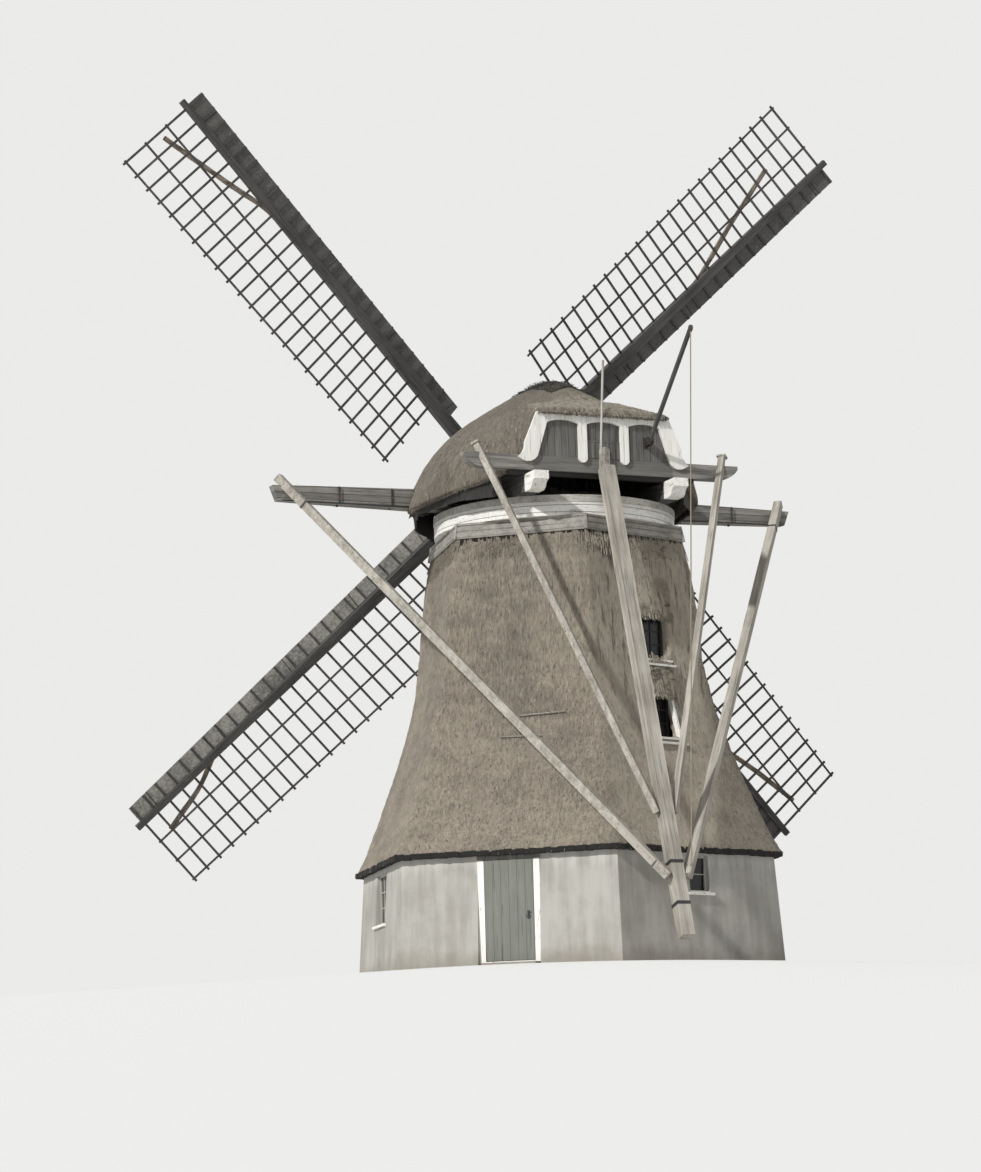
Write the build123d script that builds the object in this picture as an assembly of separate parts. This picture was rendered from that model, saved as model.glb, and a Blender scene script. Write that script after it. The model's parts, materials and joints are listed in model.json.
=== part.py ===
"""Thatched smock mill that runs close to the ground, in millimetres, +Z up.

A hexagonal masonry foot carries a thatched hexagonal body with a flared skirt. A circular curb on top lets the
thatched cap turn. The cap carries the windshaft with four lattice sails at the front, and at the back a boarded
gable, two cross-beams, the tail pole and its four braces, with which the miller turns the cap to the wind.

The origin is the centre of the foot at ground level. The door looks to -Y. The cap stands turned by CAP_TURN,
and the sails by SAIL_TURN, as the miller left them.
"""

import math
import os

from build123d import *

# Masonry foot: a regular hexagon with battered walls, a corner on +X, the door facet on -Y
FACETS = 6
FOOT_CORNER = 5100.0        # corner radius at the ground
FOOT_BATTER = 0.0632        # how far a wall leans in, for each millimetre of height
FOOT_HEIGHT = 2760.0
FOOT_INSIDE = 3940.0        # from the centre to the upright inner face of a wall
FLOOR_THICKNESS = 100.0

# Door in the middle of its facet
DOOR_WIDTH = 1130.0
LINTEL = 425.0              # from the door's top to the top of the foot
DOOR_TOP = FOOT_HEIGHT - LINTEL
DOOR_THICKNESS = 55.0
DOOR_GAP = 8.0
FRAME_POST = 145.0
FRAME_HEAD = 95.0
FRAME_SILL = 30.0
FRAME_DEPTH = 140.0
FRAME_FACE = 4300.0         # from the centre to the outer face of the door frame
LEAF_SETBACK = 12.0
PINTLE_RADIUS = 9.0
PINTLE_KNUCKLE = 17.0
PINTLE_BACK = 22.0          # from the leaf's inner face to the hinge line
PINTLE_HEIGHTS = (420.0, 1980.0)
PINTLE_LENGTH = 90.0
PINTLE_FIT = 0.08
PINTLE_ARM = 24.0
PINTLE_ARM_START = 60.0
STRAP_LENGTH = 480.0
STRAP_HEIGHT = 70.0

# Windows of the foot: width, sill height and head height
FOOT_WINDOW = (1200.0, 1180.0, 2340.0)
SMALL_WINDOW = (620.0, 1560.0, 2380.0)
SASH = 55.0
SASH_DEPTH = 70.0
PANE = 8.0
WINDOW_SETBACK = 60.0

# Thatched body: corner radius and height over the top of the foot, from the eave up to the curb
EAVE_DROP = 260.0
SKIRT = (
    (5150.0, -EAVE_DROP),
    (4560.0, 880.0),
    (4080.0, 2140.0),
    (3720.0, 3140.0),
    (3480.0, 4290.0),
    (3330.0, 5640.0),
)
NECK_CORNER = 3060.0
NECK_RISE = 7040.0
NECK_HEIGHT = FOOT_HEIGHT + NECK_RISE
THATCH = 290.0
LINING_SEAT = 90.0          # width of the wall's top that the foot of the thatch leaves free inside
EAVE_MARGIN = 100.0

# Windows let into the thatch: place along the facet, width, sill and head height over the top of the foot
THATCH_WINDOWS = ((90.0, 1040.0, 4170.0, 5200.0), (60.0, 800.0, 2340.0, 3360.0))
THATCH_WINDOW_FACETS = (2, 5)
THATCH_WINDOW_SETBACK = 110.0

# Head of the body: boards round a timber frame, then the white curb
BOARD_THICKNESS = 40.0
BOARDS_CORNER_LOW = 3110.0
BOARDS_CORNER_TOP = 3035.0
BOARDS_HEIGHT = 360.0
HEAD_TOP = NECK_HEIGHT + BOARDS_HEIGHT
RING_BORE = 2450.0
CURB_RADIUS = 2809.0
CURB_HEIGHT = 316.0
CURB_TOP = HEAD_TOP + CURB_HEIGHT
CAP_RING_RADIUS = 2823.0
CAP_RING_HEIGHT = 156.7
TURN_GAP = 0.3
CAP_RING_TOP = CURB_TOP + TURN_GAP + CAP_RING_HEIGHT

# Cap: everything here is in the cap's own frame, x towards the tail and y to the right seen from behind
CAP_TURN = -49.4
SHEER_SPREAD = 1730.0
SHEER_WIDTH = 350.0
SHEER_HEIGHT = 397.0
SHEER_TOP = CAP_RING_TOP + SHEER_HEIGHT
SHEER_FRONT = -2700.0
SHEER_BACK = 3300.0
SCROLL_LENGTH = 330.0       # of the carved underside at the back end of a sheer
SCROLL_LIP = 190.0          # what is left of the sheer's height at its very end
GABLE_BACK = 2800.0         # back end of the cap's thatch
GABLE_FRONT = -2480.0
GABLE_BOARD = 60.0
GABLE_FACE = GABLE_BACK + GABLE_BOARD
BOARDS_INSET = 30.0         # of the boards' outline from the thatch's

# Half sections of the cap's thatch: station, then skirt, shoulder and brow as half width and height over the
# cap's ring, and the ridge's height over it
CAP_SECTIONS = (
    (GABLE_FRONT, (2150.0, 427.0), (1960.0, 1217.0), (1350.0, 2067.0), 2667.0),
    (-1700.0, (2980.0, 217.0), (2660.0, 1117.0), (1900.0, 2087.0), 3147.0),
    (-400.0, (3420.0, 107.0), (3030.0, 1047.0), (2130.0, 2067.0), 3287.0),
    (1400.0, (3080.0, 217.0), (2700.0, 1117.0), (1960.0, 1947.0), 2757.0),
    (GABLE_BACK, (2050.0, 547.0), (1840.0, 1167.0), (1600.0, 1767.0), 1837.0),
)
CAP_THATCH = 270.0
CAP_SKIRT_BEVEL = 200.0     # how far the thatch's lower edge rises towards the inside
SOFFIT_THICKNESS = 35.0
SOFFIT_LAP = 300.0          # how far the soffit's boards lie on the sheer
SOFFIT_CLEAR = 12.0         # between the soffit and the thatch

# White trim of the gable: cornice with three shallow arches, two posts, and a raked board at each side whose
# foot flares outwards over the beam. Widths are measured from the middle line.
TRIM_DEPTH = 65.0
TRIM_TOP = 60.0             # over the thatch's brow
TRIM_LAP = 110.0            # how far the feet reach down over the beam
CORNICE = 230.0
POST_PLACE = 520.0
POST_WIDTH = 210.0
ARCH_RISE = 75.0
RAKE_TOP_OUTER = 1640.0
RAKE_TOP_INNER = 1390.0
RAKE_FOOT_OUTER = 2020.0
RAKE_FOOT_INNER = 1640.0
RAKE_CURL = 110.0

# Cross-beams and tail
BEAM_LONG_STATION = -954.0
BEAM_LONG_HALF = 6650.0
BEAM_LONG_WIDTH = 400.0
BEAM_LONG_DEPTH = 410.0
BEAM_LONG_SINK = 165.0      # how deep it is let into the sheers
BEAM_LONG_LOW = SHEER_TOP - BEAM_LONG_SINK
BEAM_LONG_STRAIGHT = 3300.0
BEAM_LONG_END = (250.0, 230.0)
BEAM_SHORT_HALF = 3400.0
BEAM_SHORT_WIDTH = 280.0
BEAM_SHORT_HEIGHT = 420.0
BEAM_SHORT_TOP = SHEER_TOP + BEAM_SHORT_HEIGHT
BEAM_SHORT_LIP = 95.0       # height left at its very ends
BEAM_SHORT_ROUND = 520.0    # length of the rounded underside at each end
TAIL_TOP_STATION = 3280.0   # where the pole's middle line passes TAIL_TOP_REF
TAIL_TOP_REF = CAP_RING_TOP - 293.0
TAIL_SLOPE = 0.2985
TAIL_WIDTH_TOP = 300.0
TAIL_WIDTH_FOOT = 340.0
TAIL_FOOT = 450.0
TENON_WIDTH = 220.0
TENON_DEPTH = 120.0
TENON_LOW = 200.0           # over the sheers
TENON_TOP = 690.0
BRACE = 190.0
LONG_BRACE_HIGH = (-700.0, 6200.0, BEAM_LONG_LOW + 185.0)
LONG_BRACE_FOOT = (1950.0, 336.0)
LONG_BRACE_ENDS = (260.0, 560.0)
SHORT_BRACE_HIGH = (GABLE_FACE + 40.0, 2900.0, SHEER_TOP + 170.0)
SHORT_BRACE_FOOT = (3350.0, 258.0)
SHORT_BRACE_ENDS = (200.0, 520.0)
BRACE_CAP = (300.0, 240.0, 45.0)
STAFF_RADIUS = 27.0
STAFF_SEAT = 0.3
STAFF_FOOT = (-162.0, 490.0)    # place to the right and height over the sheers
STAFF_HEAD = (-30.0, 2670.0)

# Brake lever on the gable, and its rope. Stations and heights over the sheers.
LEVER_OFFSET = 1070.0
LEVER_PIVOT = (3107.0, SHEER_TOP + 854.0)
LEVER_TIP = (5386.0, SHEER_TOP + 2947.0)
LEVER_WIDTH = 70.0
LEVER_DEPTH = 90.0
LEVER_PIN = 18.0
LEVER_FIT = 0.08
LEVER_SIDE_GAP = 6.0
CHEEK = 16.0
CHEEK_HALF = 90.0
BRACKET_PLATE = (20.0, 240.0)
ROPE_RADIUS = 14.0
ROPE_SEAT = 0.3
PULLEY_RADIUS = 75.0
PULLEY_WIDTH = 50.0
ROPE_FOOT = (6150.0, 220.0, 1980.0)

# Windshaft and sails, in the frame of the hub: x right and y up seen from behind, z back along the shaft
HUB_STATION = -3425.0
HUB_HEIGHT = CAP_RING_TOP + 1461.0
SHAFT_TILT = 13.8
SAIL_TURN = 45.26
STOCK_OFFSET = 190.0
STOCK_HALF_LENGTH = 12080.0
STOCK_HUB = 330.0
STOCK_TIP = 140.0
STOCK_FLAT = 0.85           # depth of a stock's tip against its width
POLL_SIZE = 640.0
POLL_LENGTH = 1000.0
SHAFT_RADIUS = 230.0
SHAFT_END_RADIUS = 150.0
SHAFT_LENGTH = 2600.0
SHAFT_NECK = 900.0
SHAFT_SLOT = 60.0
SHAFT_RUNNING = 0.3
# Beams under the windshaft: start, width, half length below and above, and radius of the seat
NECK_BEAM = (-2440.0, 330.0, 1810.0, 1560.0, SHAFT_RADIUS)
TAIL_BEAM = (-700.0, 240.0, 1880.0, 1780.0, SHAFT_END_RADIUS)
BARS = 24
BAR_FIRST = 2660.0
BAR_TIP = 210.0             # from the last bar to the stock's end
BAR_LAST = STOCK_HALF_LENGTH - BAR_TIP
BAR_REACH = 1930.0
BAR_STUB = 500.0
BAR_END = 65.0              # how far the bars run past the outer lath
BOARD_SEAT = 0.9             # keeps a windboard clear of the edges of the twisted bars
BAR_WIDTH = 55.0
BAR_THICKNESS = 32.0
LATHS = (650.0, 1290.0, BAR_REACH)
LATH_WIDTH = 50.0
LATH_THICKNESS = 26.0
TWIST_HUB = math.tan(math.radians(19.0))
TWIST_TIP = math.tan(math.radians(-4.0))
WINDBOARD_START = 2080.0
WINDBOARD_THICKNESS = 24.0
ROLL_RADIUS = 70.0
ROLL_SEAT = 0.3
# Line of each rolled cloth: way from the stock's end and distance from the stock, top right, top left, low left
# and low right
ROLLS = (
    ((9580.0, -60.0), (5980.0, -70.0), (4630.0, 20.0), (2930.0, 520.0), (1330.0, 900.0)),
    ((9580.0, -60.0), (6880.0, -70.0), (4580.0, -60.0), (3230.0, 30.0), (2180.0, 370.0), (380.0, 850.0)),
    ((9580.0, -60.0), (6880.0, -70.0), (4780.0, -50.0), (2680.0, -10.0), (1780.0, 400.0), (580.0, 640.0)),
    ((9580.0, -60.0), (6880.0, -70.0), (4180.0, -40.0), (2880.0, 160.0), (1780.0, 470.0), (480.0, 720.0)),
)

CAP = Location((0, 0, 0), (0, 0, CAP_TURN))
HUB_PLANE = Plane(
    origin=(HUB_STATION, 0, HUB_HEIGHT),
    x_dir=(0, 1, 0),
    z_dir=(math.cos(math.radians(SHAFT_TILT)), 0, -math.sin(math.radians(SHAFT_TILT))),
)
NODES = {}


def keep(name, shape):
    """Name a finished piece, which may be several solids that don't touch."""
    NODES[name] = Compound(label=name, children=list(shape.solids()))


def block(low, high):
    """A box between two opposite corners."""
    size = [h - l for l, h in zip(low, high)]
    return Pos(*low) * Box(*size, align=(Align.MIN, Align.MIN, Align.MIN))


def facet_angle(facet):
    """The direction of a facet's outward normal, in degrees."""
    return 210.0 + 360.0 / FACETS * facet


def on_facet(facet, shape):
    """Turn a piece modelled on the door facet to another facet."""
    return Rot(0, 0, facet_angle(facet) - 270.0) * shape


def apothem(corner_radius):
    return corner_radius * math.cos(math.pi / FACETS)


def sector(low, high, reach=6000.0):
    """The wedge of space behind the door facet, from the middle line out."""
    half = math.pi / FACETS
    side = reach / math.cos(half)
    corner = side * math.sin(half)
    outline = make_face(Polyline((0, 0), (-corner, -reach), (corner, -reach), close=True))
    return Pos(0, 0, low) * extrude(outline, high - low)


def profile_slab(points_outline, reach=3600.0):
    """A profile in the upright plane through the door facet's normal, drawn out along the facet."""
    return extrude(Plane.YZ * points_outline, reach, both=True)


def wall_face(height):
    """From the middle line to the masonry's outer face at a height."""
    return apothem(FOOT_CORNER) - FOOT_BATTER * height


def make_wall():
    """The whole masonry of one facet, mitred to its neighbours."""
    inside, top = -FOOT_INSIDE, FOOT_HEIGHT
    corners = ((-wall_face(0), 0), (inside, 0), (inside, top), (-wall_face(top), top))
    outline = make_face(Polyline(*corners, close=True))
    return profile_slab(outline) & sector(0, FOOT_HEIGHT)


def wall_hole(width, low, high):
    return block((-width / 2, -FOOT_CORNER, low), (width / 2, -FOOT_INSIDE + 100, high))


def window_frame(width, low, high, face, middle=0.0, depth=SASH_DEPTH):
    """A plain sash round a pane; face is the distance from the centre to its outer side."""
    outside = block((middle - width / 2, -face, low), (middle + width / 2, -face + depth, high))
    inside = block((middle - width / 2 + SASH, -face, low + SASH),
                   (middle + width / 2 - SASH, -face + depth, high - SASH))
    pane_front = face - depth / 2 + PANE / 2
    pane = block((middle - width / 2 + SASH, -pane_front, low + SASH),
                 (middle + width / 2 - SASH, -pane_front + PANE, high - SASH))
    return outside - inside, pane


def make_foot():
    """Floor, walls with their door and window openings, door frame and leaf."""
    floor = extrude(RegularPolygon(FOOT_INSIDE, FACETS, major_radius=False), FLOOR_THICKNESS)
    keep("ground_floor", floor)

    wall = make_wall()
    opening = DOOR_WIDTH / 2 + FRAME_POST
    head_low = DOOR_TOP + FRAME_HEAD
    reach = FOOT_CORNER
    keep("wall_door_left", wall & block((-reach, -reach, 0), (-opening, 0, FOOT_HEIGHT)))
    keep("wall_door_right", wall & block((opening, -reach, 0), (reach, 0, FOOT_HEIGHT)))
    keep("wall_door_head", wall & block((-opening, -reach, head_low), (opening, 0, FOOT_HEIGHT)))

    names = {0: "wall_left", 2: "wall_right", 3: "wall_back_right", 4: "wall_back", 5: "wall_back_left"}
    frames, panes = [], []
    for facet, name in names.items():
        size = SMALL_WINDOW if facet == 2 else FOOT_WINDOW
        keep(name, on_facet(facet, wall - wall_hole(*size)))
        frame, pane = window_frame(*size, wall_face(size[2]) - WINDOW_SETBACK)
        frames.append(on_facet(facet, frame))
        panes.append(on_facet(facet, pane))

    post_low = FLOOR_THICKNESS
    front, back = -FRAME_FACE, -FRAME_FACE + FRAME_DEPTH
    frame = block((-opening, front, post_low), (opening, back, head_low))
    frame -= block((-DOOR_WIDTH / 2, front, post_low + FRAME_SILL), (DOOR_WIDTH / 2, back, DOOR_TOP))
    leaf_front = front + LEAF_SETBACK
    hinge_x = -DOOR_WIDTH / 2 + DOOR_GAP + PINTLE_KNUCKLE
    hinge_y = leaf_front + DOOR_THICKNESS + PINTLE_BACK
    upright = (Align.CENTER, Align.CENTER, Align.MIN)
    pintles, knuckles, bores = [], [], []
    for low in PINTLE_HEIGHTS:
        arm = block((-opening + PINTLE_ARM_START, hinge_y - PINTLE_KNUCKLE, low - PINTLE_ARM),
                    (hinge_x + PINTLE_RADIUS, hinge_y + PINTLE_KNUCKLE, low))
        pin = Pos(hinge_x, hinge_y, low) * Cylinder(PINTLE_RADIUS, PINTLE_LENGTH, align=upright)
        pintles += [arm, pin]
        seat = Pos(hinge_x, hinge_y, low + PINTLE_FIT)
        knuckle = seat * Cylinder(PINTLE_KNUCKLE, STRAP_HEIGHT + 10, align=upright)
        strap = block((hinge_x, leaf_front + DOOR_THICKNESS, low + PINTLE_FIT),
                      (hinge_x + STRAP_LENGTH, hinge_y - PINTLE_RADIUS - 2, low + STRAP_HEIGHT))
        knuckles += [knuckle, strap]
        bore = Cylinder(PINTLE_RADIUS + PINTLE_FIT, PINTLE_LENGTH, align=upright)
        bores.append(Pos(hinge_x, hinge_y, low) * bore)
    keep("door_frame", frame.fuse(*pintles))
    leaf = block((-DOOR_WIDTH / 2 + DOOR_GAP, leaf_front, post_low + FRAME_SILL + DOOR_GAP),
                 (DOOR_WIDTH / 2 - DOOR_GAP, leaf_front + DOOR_THICKNESS, DOOR_TOP - DOOR_GAP))
    keep("door_leaf", leaf.fuse(*knuckles).cut(*bores))
    return frames, panes


def make_body(frames, panes):
    """The thatched body, one piece for each facet, and its windows."""
    stations = SKIRT + ((NECK_CORNER, NECK_RISE),)
    outer = [(-apothem(corner), FOOT_HEIGHT + rise) for corner, rise in stations]
    inner = [(x + THATCH, z) for x, z in outer[1:]]
    eave = FOOT_HEIGHT - EAVE_DROP
    rest_outer = -wall_face(FOOT_HEIGHT)
    eave_inside = -wall_face(eave)
    skin = Spline(*outer)
    rest_inner = (-(FOOT_INSIDE + LINING_SEAT), FOOT_HEIGHT)
    lining = Spline(*(inner[::-1] + [rest_inner]))
    lines = [skin, Line(outer[-1], inner[-1]), lining, Line(rest_inner, (rest_outer, FOOT_HEIGHT)),
             Line((rest_outer, FOOT_HEIGHT), (eave_inside, eave)), Line((eave_inside, eave), outer[0])]
    shell = profile_slab(make_face(Wire(lines))) & sector(eave - EAVE_MARGIN, NECK_HEIGHT + EAVE_MARGIN)
    sides = ("left", "door_side", "right", "back_right", "back", "back_left")
    for facet, side in enumerate(sides):
        piece = shell
        if facet in THATCH_WINDOW_FACETS:
            for middle, width, sill, head in THATCH_WINDOWS:
                low, high = FOOT_HEIGHT + sill, FOOT_HEIGHT + head
                piece -= block((middle - width / 2, -FOOT_CORNER, low), (middle + width / 2, 0, high))
                corner = FOOT_CORNER
                for (r0, z0), (r1, z1) in zip(stations, stations[1:]):
                    if z0 <= head <= z1:
                        corner = r0 + (r1 - r0) * (head - z0) / (z1 - z0)
                frame, pane = window_frame(width, low, high, apothem(corner) - THATCH_WINDOW_SETBACK, middle)
                frames.append(on_facet(facet, frame))
                panes.append(on_facet(facet, pane))
        keep("thatch_" + side, on_facet(facet, piece))


def make_head():
    """Boards, head frame and curb on top of the body."""
    low, high = NECK_HEIGHT, HEAD_TOP
    outside = loft([Pos(0, 0, low) * RegularPolygon(BOARDS_CORNER_LOW, FACETS),
                    Pos(0, 0, high) * RegularPolygon(BOARDS_CORNER_TOP, FACETS)], ruled=True)
    inset = BOARD_THICKNESS / math.cos(math.pi / FACETS)
    inside = loft([Pos(0, 0, low) * RegularPolygon(BOARDS_CORNER_LOW - inset, FACETS),
                   Pos(0, 0, high) * RegularPolygon(BOARDS_CORNER_TOP - inset, FACETS)], ruled=True)
    keep("head_boards", outside - inside)
    bore = Pos(0, 0, low) * Cylinder(RING_BORE, high - low, align=(Align.CENTER, Align.CENTER, Align.MIN))
    keep("head_frame", inside - bore)
    keep("curb_ring", ring(CURB_RADIUS, HEAD_TOP, CURB_TOP))


def ring(radius, low, high, bore=RING_BORE):
    sketch = Circle(radius) - Circle(bore)
    return Pos(0, 0, low) * extrude(sketch, high - low)


def across(station, height=0.0):
    """The upright plane across the cap at a station: x to the right and y up, seen from behind."""
    return Plane(origin=(station, 0, height), x_dir=(0, 1, 0), z_dir=(1, 0, 0))


def half_section(station, skirt, shoulder, brow, ridge, inset=0.0, rise=0.0):
    """The right half of a cross-section of the cap's thatch; inset makes the inner one."""
    drop = inset * 1.25
    foot = (skirt[0] - inset, skirt[1] - rise)
    mid = (shoulder[0] - inset, shoulder[1])
    top = (brow[0] - inset * 0.7, brow[1] - inset * 0.7)
    peak = (0.0, ridge - drop)
    bow = ((top[0] + peak[0]) / 2, (top[1] + peak[1]) / 2 + 0.03 * top[0])
    side = Spline(foot, mid, top)
    crown = Spline(top, bow, peak)
    edges = [side, crown, Line(peak, (0.0, foot[1])), Line((0.0, foot[1]), foot)]
    return across(station, CAP_RING_TOP) * make_face(Wire(edges))


def cap_half(inset=0.0, rise=0.0, overrun=0.0):
    """A closed solid of half the cap; the inner one runs past both ends so that it cuts them open."""
    sections = []
    for number, (station, skirt, shoulder, brow, ridge) in enumerate(CAP_SECTIONS):
        place = station
        if number == 0:
            place -= overrun
        if number == len(CAP_SECTIONS) - 1:
            place += overrun
        sections.append(half_section(place, skirt, shoulder, brow, ridge, inset, rise))
    return loft(sections)


def make_sheers(cutters):
    """The two long timbers on the ring, their back ends carved to a scroll on the underside."""
    low, lip = CAP_RING_TOP, SHEER_TOP - SCROLL_LIP
    start, rise = SHEER_BACK - SCROLL_LENGTH, lip - low
    middle = (start + SCROLL_LENGTH / 2, low + rise / 2)
    scroll = make_face(Wire([
        ThreePointArc((start, low), (start + SCROLL_LENGTH * 0.3, low + rise * 0.14), middle),
        ThreePointArc(middle, (start + SCROLL_LENGTH * 0.7, low + rise * 0.86), (SHEER_BACK, lip)),
        Line((SHEER_BACK, lip), (SHEER_BACK, low)),
        Line((SHEER_BACK, low), (start, low)),
    ]))
    length = SHEER_BACK - SHEER_FRONT
    whole = Pos(SHEER_FRONT + length / 2, low + SHEER_HEIGHT / 2) * Rectangle(length, SHEER_HEIGHT)
    sheer = extrude(Plane.XZ * (whole - scroll), SHEER_WIDTH / 2, both=True)
    return Compound(children=[(Pos(0, side * SHEER_SPREAD, 0) * sheer).cut(*cutters) for side in (-1, 1)])


def make_soffit(cutters):
    """Boards from the top of each sheer out to the thatch, which close the cap from below."""
    height = SHEER_TOP - CAP_RING_TOP
    edge = []
    for station, skirt, shoulder, _, _ in CAP_SECTIONS:
        foot = (skirt[0] - CAP_THATCH, skirt[1] - CAP_SKIRT_BEVEL)
        part = (height - foot[1]) / (shoulder[1] - foot[1])
        edge.append((station, foot[0] + (shoulder[0] - CAP_THATCH - foot[0]) * part - SOFFIT_CLEAR))
    inside = SHEER_SPREAD + SHEER_WIDTH / 2 - SOFFIT_LAP
    (front, front_width), (back, back_width) = edge[0], edge[-1]
    outline = make_face(Wire([
        Spline(*edge),
        Line((back, back_width), (back, inside)),
        Line((back, inside), (front, inside)),
        Line((front, inside), (front, front_width)),
    ]))
    half = (Pos(0, 0, SHEER_TOP) * extrude(outline, SOFFIT_THICKNESS)).cut(*cutters)
    return Compound(children=[half, mirror(half, about=Plane.XZ)])


def make_cap():
    """Ring, sheers, soffit, thatch, gables and cross-beams, all in the cap's frame."""
    parts = {}
    parts["cap_ring"] = ring(CAP_RING_RADIUS, CURB_TOP + TURN_GAP, CAP_RING_TOP)
    beam_long, beam_short = make_long_beam(), make_short_beam()
    shaft_beams = make_shaft_beams(SHEER_TOP)
    parts["sheers"] = make_sheers([beam_long])
    parts["cap_soffit"] = make_soffit([beam_long, beam_short, *shaft_beams.solids()])

    inner = cap_half(CAP_THATCH, rise=CAP_SKIRT_BEVEL, overrun=60.0)
    right = cap_half() - inner - beam_long - beam_short
    parts["cap_thatch_right"] = right
    parts["cap_thatch_left"] = mirror(right, about=Plane.XZ)

    parts["gable_boards"] = make_gable_boards()
    parts["gable_trim"] = make_gable_trim()
    parts["front_boards"] = make_front_boards()
    parts["shaft_beams"] = shaft_beams
    parts["long_beam"] = beam_long
    parts["short_beam"] = beam_short
    return parts


def make_gable_boards():
    """The boarded back of the cap, over the short beam and just inside the thatch's outline."""
    skirt, shoulder, brow, ridge = CAP_SECTIONS[-1][1:]
    low = BEAM_SHORT_TOP - CAP_RING_TOP
    part = (low - skirt[1]) / (shoulder[1] - skirt[1])
    foot = skirt[0] + (shoulder[0] - skirt[0]) * part - BOARDS_INSET
    side, high, peak = brow[0] - BOARDS_INSET, brow[1] - BOARDS_INSET, ridge - BOARDS_INSET
    outline = Polyline((-foot, low), (foot, low), (side, high), (0.0, peak), (-side, high), close=True)
    return extrude(across(GABLE_BACK, CAP_RING_TOP) * make_face(outline), GABLE_BOARD)


def make_front_boards():
    """The boarded front of the cap, with room for the windshaft."""
    skirt, shoulder, brow, ridge = CAP_SECTIONS[0][1:]
    side = [(skirt[0] - BOARDS_INSET, SHEER_HEIGHT), shoulder, brow, (0.0, ridge)]
    other = [(-y, z) for y, z in side[::-1]]
    outline = make_face(Wire([Line(other[-1], side[0]), Spline(*side), Spline(*other)]))
    shaft = HUB_PLANE * Cylinder(SHAFT_RADIUS + SHAFT_SLOT, 2 * SHAFT_LENGTH)
    return extrude(across(GABLE_FRONT - GABLE_BOARD, CAP_RING_TOP) * outline, GABLE_BOARD) - shaft


def shaft_height(station):
    """Height of the windshaft's middle line at a station of the cap."""
    return HUB_HEIGHT - (station - HUB_STATION) * math.tan(math.radians(SHAFT_TILT))


def make_shaft_beams(low):
    """The two beams on the sheers in which the windshaft turns, each with a half-round seat."""
    beams = []
    for start, width, half_low, half_top, radius in NECK_BEAM, TAIL_BEAM:
        top = shaft_height(start + width / 2)
        seat = HUB_PLANE * Cylinder(radius + SHAFT_RUNNING, 4 * SHAFT_LENGTH)
        outline = Polyline((-half_low, low), (half_low, low), (half_top, top), (-half_top, top), close=True)
        beams.append(extrude(across(start) * make_face(outline), width) - seat)
    return Compound(children=beams)


def make_long_beam():
    """The long cross-beam, straight in the cap and tapered towards both ends."""
    height = BEAM_LONG_LOW + BEAM_LONG_DEPTH / 2
    middle = Plane(origin=(BEAM_LONG_STATION, 0, height), x_dir=(1, 0, 0), z_dir=(0, 1, 0))
    section = Rectangle(BEAM_LONG_WIDTH, BEAM_LONG_DEPTH)
    end = middle.offset(BEAM_LONG_HALF) * Rectangle(*BEAM_LONG_END)
    straight = extrude(middle * section, BEAM_LONG_STRAIGHT, both=True)
    right = loft([middle.offset(BEAM_LONG_STRAIGHT) * section, end], ruled=True)
    return straight + right + mirror(right, about=Plane.XZ)


def make_short_beam():
    """The short cross-beam on the sheers, flush with the gable, its ends rounded up from below."""
    half, inner = BEAM_SHORT_HALF, BEAM_SHORT_HALF - BEAM_SHORT_ROUND
    lip = BEAM_SHORT_HEIGHT - BEAM_SHORT_LIP
    bow = (inner + BEAM_SHORT_ROUND * 0.62, lip * 0.30)
    outline = make_face(Wire([
        Line((-inner, 0), (inner, 0)),
        ThreePointArc((inner, 0), bow, (half, lip)),
        Line((half, lip), (half, BEAM_SHORT_HEIGHT)),
        Line((half, BEAM_SHORT_HEIGHT), (-half, BEAM_SHORT_HEIGHT)),
        Line((-half, BEAM_SHORT_HEIGHT), (-half, lip)),
        ThreePointArc((-half, lip), (-bow[0], bow[1]), (-inner, 0)),
    ]))
    return extrude(across(GABLE_FACE - BEAM_SHORT_WIDTH, SHEER_TOP) * outline, BEAM_SHORT_WIDTH)


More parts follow.
